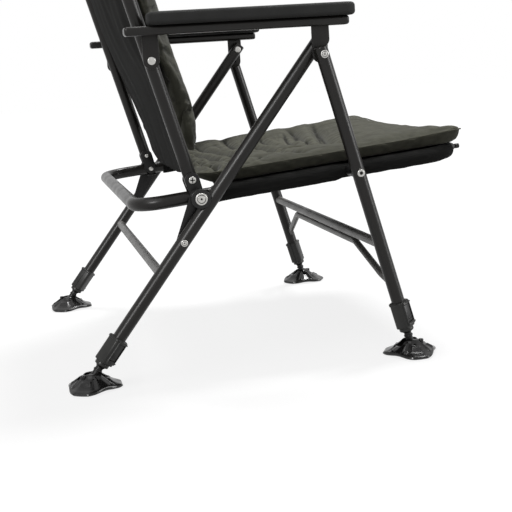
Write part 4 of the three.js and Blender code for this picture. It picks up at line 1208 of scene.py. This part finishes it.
class CHAIR_OT_seat_cushion(bpy.types.Operator):
    """Builds the seat cushion by cloth simulation, with its folds and its edge welt"""

    bl_idname = "chair.seat_cushion"
    bl_label = "Seat Cushion"

    # Half width, middle and half length of the pad, and the radius of its corners
    half = 0.290
    middle = -0.243
    length = 0.2325
    corner = 0.045
    # Folds of the cloth: depth, half width, and the points (x, s) that each runs through
    folds = (
        (0.010, 0.0085, (
            (0.060, -0.176), (-0.010, -0.176), (-0.075, -0.180), (-0.150, -0.176),
            (-0.215, -0.182), (-0.262, -0.196),
        )),
        (0.007, 0.0070, ((-0.105, -0.188), (-0.090, -0.204), (-0.080, -0.226), (-0.094, -0.243))),
        (0.008, 0.0075, ((0.165, -0.268), (0.090, -0.254), (0.010, -0.238), (-0.060, -0.230))),
        (0.007, 0.0120, ((0.245, -0.300), (0.160, -0.290), (0.070, -0.272), (-0.010, -0.262))),
        (0.011, 0.0065, ((0.020, -0.272), (-0.040, -0.264), (-0.105, -0.254))),
        (0.010, 0.0110, (
            (0.235, -0.350), (0.120, -0.328), (0.020, -0.306), (-0.080, -0.282),
            (-0.165, -0.262), (-0.225, -0.262),
        )),
        (0.009, 0.0080, (
            (-0.085, -0.226), (-0.130, -0.240), (-0.160, -0.252), (-0.200, -0.268),
            (-0.232, -0.288),
        )),
        (0.006, 0.0080, ((0.190, -0.220), (0.120, -0.212), (0.050, -0.208), (-0.010, -0.208))),
        (0.009, 0.0095, (
            (0.255, -0.092), (0.150, -0.096), (0.060, -0.106), (-0.040, -0.116), (-0.105, -0.118),
        )),
        (0.009, 0.0080, ((0.130, -0.062), (0.040, -0.070), (-0.060, -0.078), (-0.130, -0.074))),
        (0.008, 0.0075, ((-0.130, -0.092), (-0.180, -0.086), (-0.225, -0.080))),
        (0.007, 0.0075, ((-0.268, -0.086), (-0.252, -0.106), (-0.225, -0.124), (-0.190, -0.134))),
        (0.006, 0.0090, ((0.262, -0.160), (0.190, -0.152), (0.110, -0.150), (0.040, -0.144))),
        (0.009, 0.0060, ((-0.275, -0.040), (-0.240, -0.046), (-0.215, -0.036), (-0.180, -0.050))),
        (0.008, 0.0060, ((-0.180, -0.028), (-0.120, -0.046), (-0.060, -0.036), (0.020, -0.046))),
    )

    def fold_drop(self, x, s, sharp=1.0):
        """How deep the folds pull the cloth down at a point, with the lip that each throws up."""
        drop = 0.0
        for depth, width, points in self.folds:
            near = 3.2 * width
            if not (
                min(p[0] for p in points) - near < x < max(p[0] for p in points) + near
                and min(p[1] for p in points) - near < s < max(p[1] for p in points) + near
            ):
                continue
            best, along = 1.0, 0.0
            for k, (a, b) in enumerate(zip(points, points[1:])):
                ax, ay = b[0] - a[0], b[1] - a[1]
                share = ((x - a[0]) * ax + (s - a[1]) * ay) / (ax * ax + ay * ay)
                share = min(max(share, 0.0), 1.0)
                away = math.hypot(x - a[0] - share * ax, s - a[1] - share * ay)
                if away < best:
                    best, along = away, (k + share) / (len(points) - 1)
            if best > near:
                continue
            fade = min(1.0, 5.0 * min(along, 1 - along) + 0.15)
            valley = math.exp(-((best / (width * sharp)) ** 2))
            lip = math.exp(-(((best - 1.9 * width) / (0.8 * width)) ** 2))
            drop = max(drop, depth * fade * valley) - 0.22 * depth * fade * lip
        return drop

    def edge(self, x, s):
        """Distance of a point from the pad's edge."""
        return min(self.half - abs(x), self.length - abs(s - self.middle))

    def seam(self, x, s):
        """Height of the edge seam above the rail axis: its front sags between the rails."""
        front = ramp(s, -0.34, -0.47)
        side = (x / self.half) ** 2
        return 0.0335 - 0.010 * front * (1 - side) + 0.003 * front * side * side

    def surface(self, x, s):
        """Height of the cloth above the rail axis before it is stuffed."""
        lift = ramp(self.edge(x, s), 0.0, 0.022)
        hollow = ramp(self.half - abs(x), 0.05, 0.19) * (1 - ramp(s, -0.34, -0.46))
        front = ramp(s, -0.36, -0.44)
        height = self.seam(x, s) + (0.004 + 0.003 * front) * lift - 0.006 * hollow
        return height - 1.15 * lift * self.fold_drop(x, s)

    def base(self, s):
        """Height of the underside: it lifts off the rails at the rear end."""
        return SEAT_REST + 0.010 * ramp(s, -0.040, -0.006)

    def execute(self, context):
        def place(u, v, top):
            x, y = rounded(u, v, self.half, self.length, self.corner)
            if not top:
                x, y = x * 0.966, y * 0.975
            s = self.middle + y
            return seat_point(x, s, self.surface(x, s) if top else self.base(s))

        bm = soft_block(96, 78, place)
        cloth = ("cushion", "olive_polyester")
        piece = place_piece(bm, "seat_cushion_pad", "seat", ["seat_cushion"], *cloth)
        swell(piece, context.scene.chair_sizes.stuffing, 0.010, self.pins, 0.0048, 0.012)
        relax = piece.modifiers.new("relax", "SMOOTH")
        relax.factor = 0.5
        relax.iterations = 3
        smooth = piece.modifiers.new("smooth", "SUBSURF")
        smooth.levels = smooth.render_levels = 1
        apply_modifiers(piece)
        piece.data.shade_smooth()
        self.crease(piece.data)
        self.press(piece)

        points = []
        half, length = self.half + 0.0004, self.length + 0.0004
        for k in range(200):
            turn = math.tau * k / 200
            u, v = math.cos(turn), math.sin(turn)
            big = max(abs(u), abs(v))
            x, y = rounded(u / big, v / big, half, length, self.corner)
            s = self.middle + y
            points.append(seat_point(x, s, self.seam(x, s) - 0.0006))
        self.press(place_piece(piping(points, 0.0011), "seat_edge_welt", "seat", [], *cloth))
        return {"FINISHED"}

    def crease(self, mesh):
        """Sharpens the folds once the cloth is stuffed and crumples it a little."""
        rises = [vert.normal.dot(RAIL_UP) for vert in mesh.vertices]
        for vert, rise in zip(mesh.vertices, rises):
            x, s, n = seat_place(vert.co)
            hold = ramp(rise, -0.1, 0.25) * ramp(self.edge(x, s), 0.004, 0.022)
            room = max(0.0, n - self.base(s) - 0.004)
            drop = min(0.6 * self.fold_drop(x, s, 0.5) * hold, room)
            wave = noise.noise(Vector((x * 16, s * 34, 2.0))) * 0.0022
            wave += noise.noise(Vector((x * 42, s * 70, 5.0))) * 0.0008
            rear = 1 - ramp(s, -0.030, -0.085)
            wave += noise.noise(Vector((x * 34, s * 60, 9.0))) * 0.0085 * rear
            vert.co += RAIL_UP * (wave * hold - drop)

    def pins(self, co):
        """How firmly the stitching and the folds hold a point of the cloth."""
        x, s, n = seat_place(co)
        underside = n < self.base(s) + 0.003
        stitched = self.edge(x, s) < 0.006 and abs(n - self.seam(x, s)) < 0.005
        folded = n > 0.018 and self.fold_drop(x, s) > 0.0052
        return 0.9 if underside or stitched or folded else 0.0

    @staticmethod
    def press(piece):
        """Gives a piece a mesh of its own."""
        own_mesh(piece)


class CHAIR_OT_backrest(bpy.types.Operator):
    """Builds the back frame and the cloth panel across it"""

    bl_idname = "chair.backrest"
    bl_label = "Backrest"

    def execute(self, context):
        radius = context.scene.chair_sizes.tube_radius
        side = [back_point(-RAIL_HALF, t, 0) for t in (-0.009, BACK_BEND, 0.628)]
        other = [Vector((-p.x, p.y, p.z)) for p in reversed(side)]
        tube = swept_tube([*side, *other], [0.16, 0.07, 0.07, 0.16], radius, round_off=0.001)
        place_piece(tube, "back_frame_tube", "back", ["back_frame"], "frame_coat", "frame_tube")

        half, top, bend = 0.2767, 0.611, 0.07
        bm = bmesh.new()
        bmesh.ops.create_grid(bm, x_segments=70, y_segments=80, size=1.0)
        for vert in bm.verts:
            u, v = vert.co.x, vert.co.y
            hem = 0.0155 - 0.022 * bump(u, 6) + 0.002 * noise.noise(Vector((u * 5, 0, 3)))
            t = hem + (top - hem) * (v + 1) / 2
            short = max(0.0, bend - (top - t))
            corner = bend - math.sqrt(max(0.0, bend**2 - short**2))
            loose = ramp(t, 0.290, 0.090)
            low = ramp(t, 0.200, 0.020)
            wavy = 0.034 * noise.noise(Vector((t * 24, math.copysign(3, u), 7.0))) * loose
            bulge = 0.008 * bump(u, 4) * bump(v, 4) * (1 - loose)
            fold = noise.noise(Vector((u * 5, v * 2.4, 1.0))) * 0.004 * bump(u, 8)
            x = u * (half - corner - 0.088 * low - wavy)
            vert.co = back_point(x, t, -0.0015 + 0.0095 * loose - bulge + fold * (1 - 0.6 * loose))
        nodes = ["back_panel"]
        panel = place_piece(bm, "back_panel_cloth", "back", nodes, "back_cloth", "frame_cloth")
        thicken(panel, 0.0014)
        return {"FINISHED"}


class CHAIR_OT_back_cushion(bpy.types.Operator):
    """Builds the back cushion and the head pillow by cloth simulation"""

    bl_idname = "chair.back_cushion"
    bl_label = "Back Cushion"

    def execute(self, context):
        pressure = context.scene.chair_sizes.stuffing
        tufts = ((-0.11, 0.19), (0.11, 0.19), (-0.11, 0.345), (0.11, 0.345))
        lower = self.pad("back_cushion", 0.280, (0.027, 0.502), 0.028, 0.015, tufts, pressure)
        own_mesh(lower)
        tufts = ((0.0, 0.576),)
        upper = self.pad("head_pillow", 0.232, (0.518, 0.634), 0.032, 0.018, tufts, pressure)
        return {"FINISHED"}

    @staticmethod
    def pad(name, half, reach, thick, cap, tufts, pressure):
        """One stuffed pad on the front of the back frame, held in by its tufts at (x, t)."""
        middle, length = sum(reach) / 2, (reach[1] - reach[0]) / 2
        long = length > 0.1

        def place(u, v, top):
            low = v < 0 and long
            x, y = rounded(u, v, half, length, 0.045 if low else 0.035)
            rise = 0.008 * bump(u, 2) * bump(v, 2)
            if top:
                return back_point(x, middle + y, BACK_REST + thick * 0.62 + rise)
            edge = min(half - abs(x), length - abs(y))
            tuck = ramp(edge, 0.060, 0.0) * ramp(middle + y, 0.210, 0.120) if low else 0.0
            return back_point(x, middle + y, BACK_REST + 0.0085 * tuck)

        def pins(co):
            local = co - BACK_PIVOT
            t = local.dot(BACK_UP)
            if t >= 0.44:
                t = BACK_BEND + (local - BACK_UP * BACK_BEND).dot(HEAD_UP)
            m = (co - ACROSS * co.x - back_point(0, t, 0)).length
            if m > 0.02 and any(math.hypot(co.x - x, t - up) < 0.008 for x, up in tufts):
                return 1.0
            return 0.9 if m < 0.017 else 0.0

        bm = soft_block(56, 50 if long else 16, place)
        piece = place_piece(bm, f"{name}_pad", "back", [name], "cushion", "olive_polyester")
        swell(piece, pressure, cap, pins, 0.0055, 0.03)
        smooth = piece.modifiers.new("smooth", "SUBSURF")
        smooth.levels = smooth.render_levels = 1
        piece.data.shade_smooth()
        return piece


class CHAIR_OT_armrests(bpy.types.Operator):
    """Builds the arm rails, their pins and the foam arm pads"""

    bl_idname = "chair.armrests"
    bl_label = "Armrests"

    def execute(self, context):
        bar = block((0.026, 0.354, 0.014), (-ARM_HALF, 0.0435, ARM_HEIGHT), 0.0045, 4)
        front, rear = (
            strap(pin, 0.013, Vector((0, pin.y, ARM_HEIGHT)), 0.0127, *ARM_EAR)
            for pin in (FRONT_PIN, REAR_PIN)
        )
        back = strap(ARM_PIN, 0.013, Vector((0, ARM_PIN.y, 0.548)), 0.0127, 0.2996, 0.3025)
        web = block((0.018, 0.018, 0.006), (-0.3105, ARM_PIN.y, 0.5525), 0.001)
        # The plates end level with the bar's top
        trim = block((0.06, 0.5, 0.03), (-ARM_HALF + 0.01, 0.04, 0.573))
        rail = cut(cut(bar, [front, rear, back, web], "UNION"), [trim])
        place_pair(rail, "arm_rail_bar", "arms", "arm_rail", "frame_coat", "frame_tube")

        pad = block((0.054, 0.328, 0.020), (0, 0, 0))
        upright = [e for e in pad.edges if abs(e.verts[0].co.z - e.verts[1].co.z) > 0.01]
        bevel_edges(pad, upright, 0.020, 10)
        bevel_edges(pad, sharp_edges(pad, 60), 0.006, 6)
        bmesh.ops.translate(pad, vec=(-ARM_HALF, 0.0205, 0.5683), verts=pad.verts)
        place_pair(pad, "arm_pad_foam", "arms", "arm_pad", "arm", "arm_foam")

        head, shank = (LEG_FACE, 0.0064, 0.0024, "dish"), (0.3283, 0.3524, 0.0034)
        place_bolt("arm_front_bolt_head", "arms", "arm_front_bolt", FRONT_PIN, head, shank)
        for name, body, pin, disc, shank in (
            ("arm_leg_rivet", "rear_legs", REAR_PIN, (0.3033, 0.3057), (0.3047, 0.328)),
            ("arm_back_pin", "arms", ARM_PIN, (0.3028, 0.3052), (0.282, 0.3040)),
        ):
            head = cross_pin(pin, *disc, 0.0064, 32, 0.0009)
            join(head, cross_pin(pin, *shank, 0.0034, 24))
            place_pair(head, f"{name}_head", body, name, "zinc", "zinc_bolt")
        return {"FINISHED"}


class CHAIR_PT_panel(bpy.types.Panel):
    """Lists the chair's pieces, sizes and colours"""

    bl_idname = "CHAIR_PT_panel"
    bl_label = "Folding Armchair"
    bl_space_type = "VIEW_3D"
    bl_region_type = "UI"
    bl_category = "Chair"

    def draw(self, context):
        layout = self.layout
        for group in (context.scene.chair_sizes, context.scene.chair_colours):
            box = layout.box()
            for name in group.__annotations__:
                box.prop(group, name)
        for operator in OPERATORS:
            layout.operator(operator.bl_idname)


OPERATORS = (
    CHAIR_OT_stage,
    CHAIR_OT_seat_frame,
    CHAIR_OT_brackets,
    CHAIR_OT_legs,
    CHAIR_OT_leg_locks,
    CHAIR_OT_mud_feet,
    CHAIR_OT_seat_cushion,
    CHAIR_OT_backrest,
    CHAIR_OT_back_cushion,
    CHAIR_OT_armrests,
)
CLASSES = (ChairSizes, ChairColours, *OPERATORS, CHAIR_PT_panel)


def register():
    for item in CLASSES:
        bpy.utils.register_class(item)
    bpy.types.Scene.chair_sizes = bpy.props.PointerProperty(type=ChairSizes)
    bpy.types.Scene.chair_colours = bpy.props.PointerProperty(type=ChairColours)


def unregister():
    del bpy.types.Scene.chair_colours
    del bpy.types.Scene.chair_sizes
    for item in reversed(CLASSES):
        bpy.utils.unregister_class(item)


def main():
    """Builds the chair in order."""
    register()
    for operator in OPERATORS:
        group, name = operator.bl_idname.split(".")
        getattr(getattr(bpy.ops, group), name)()


if __name__ == "__main__":
    main()
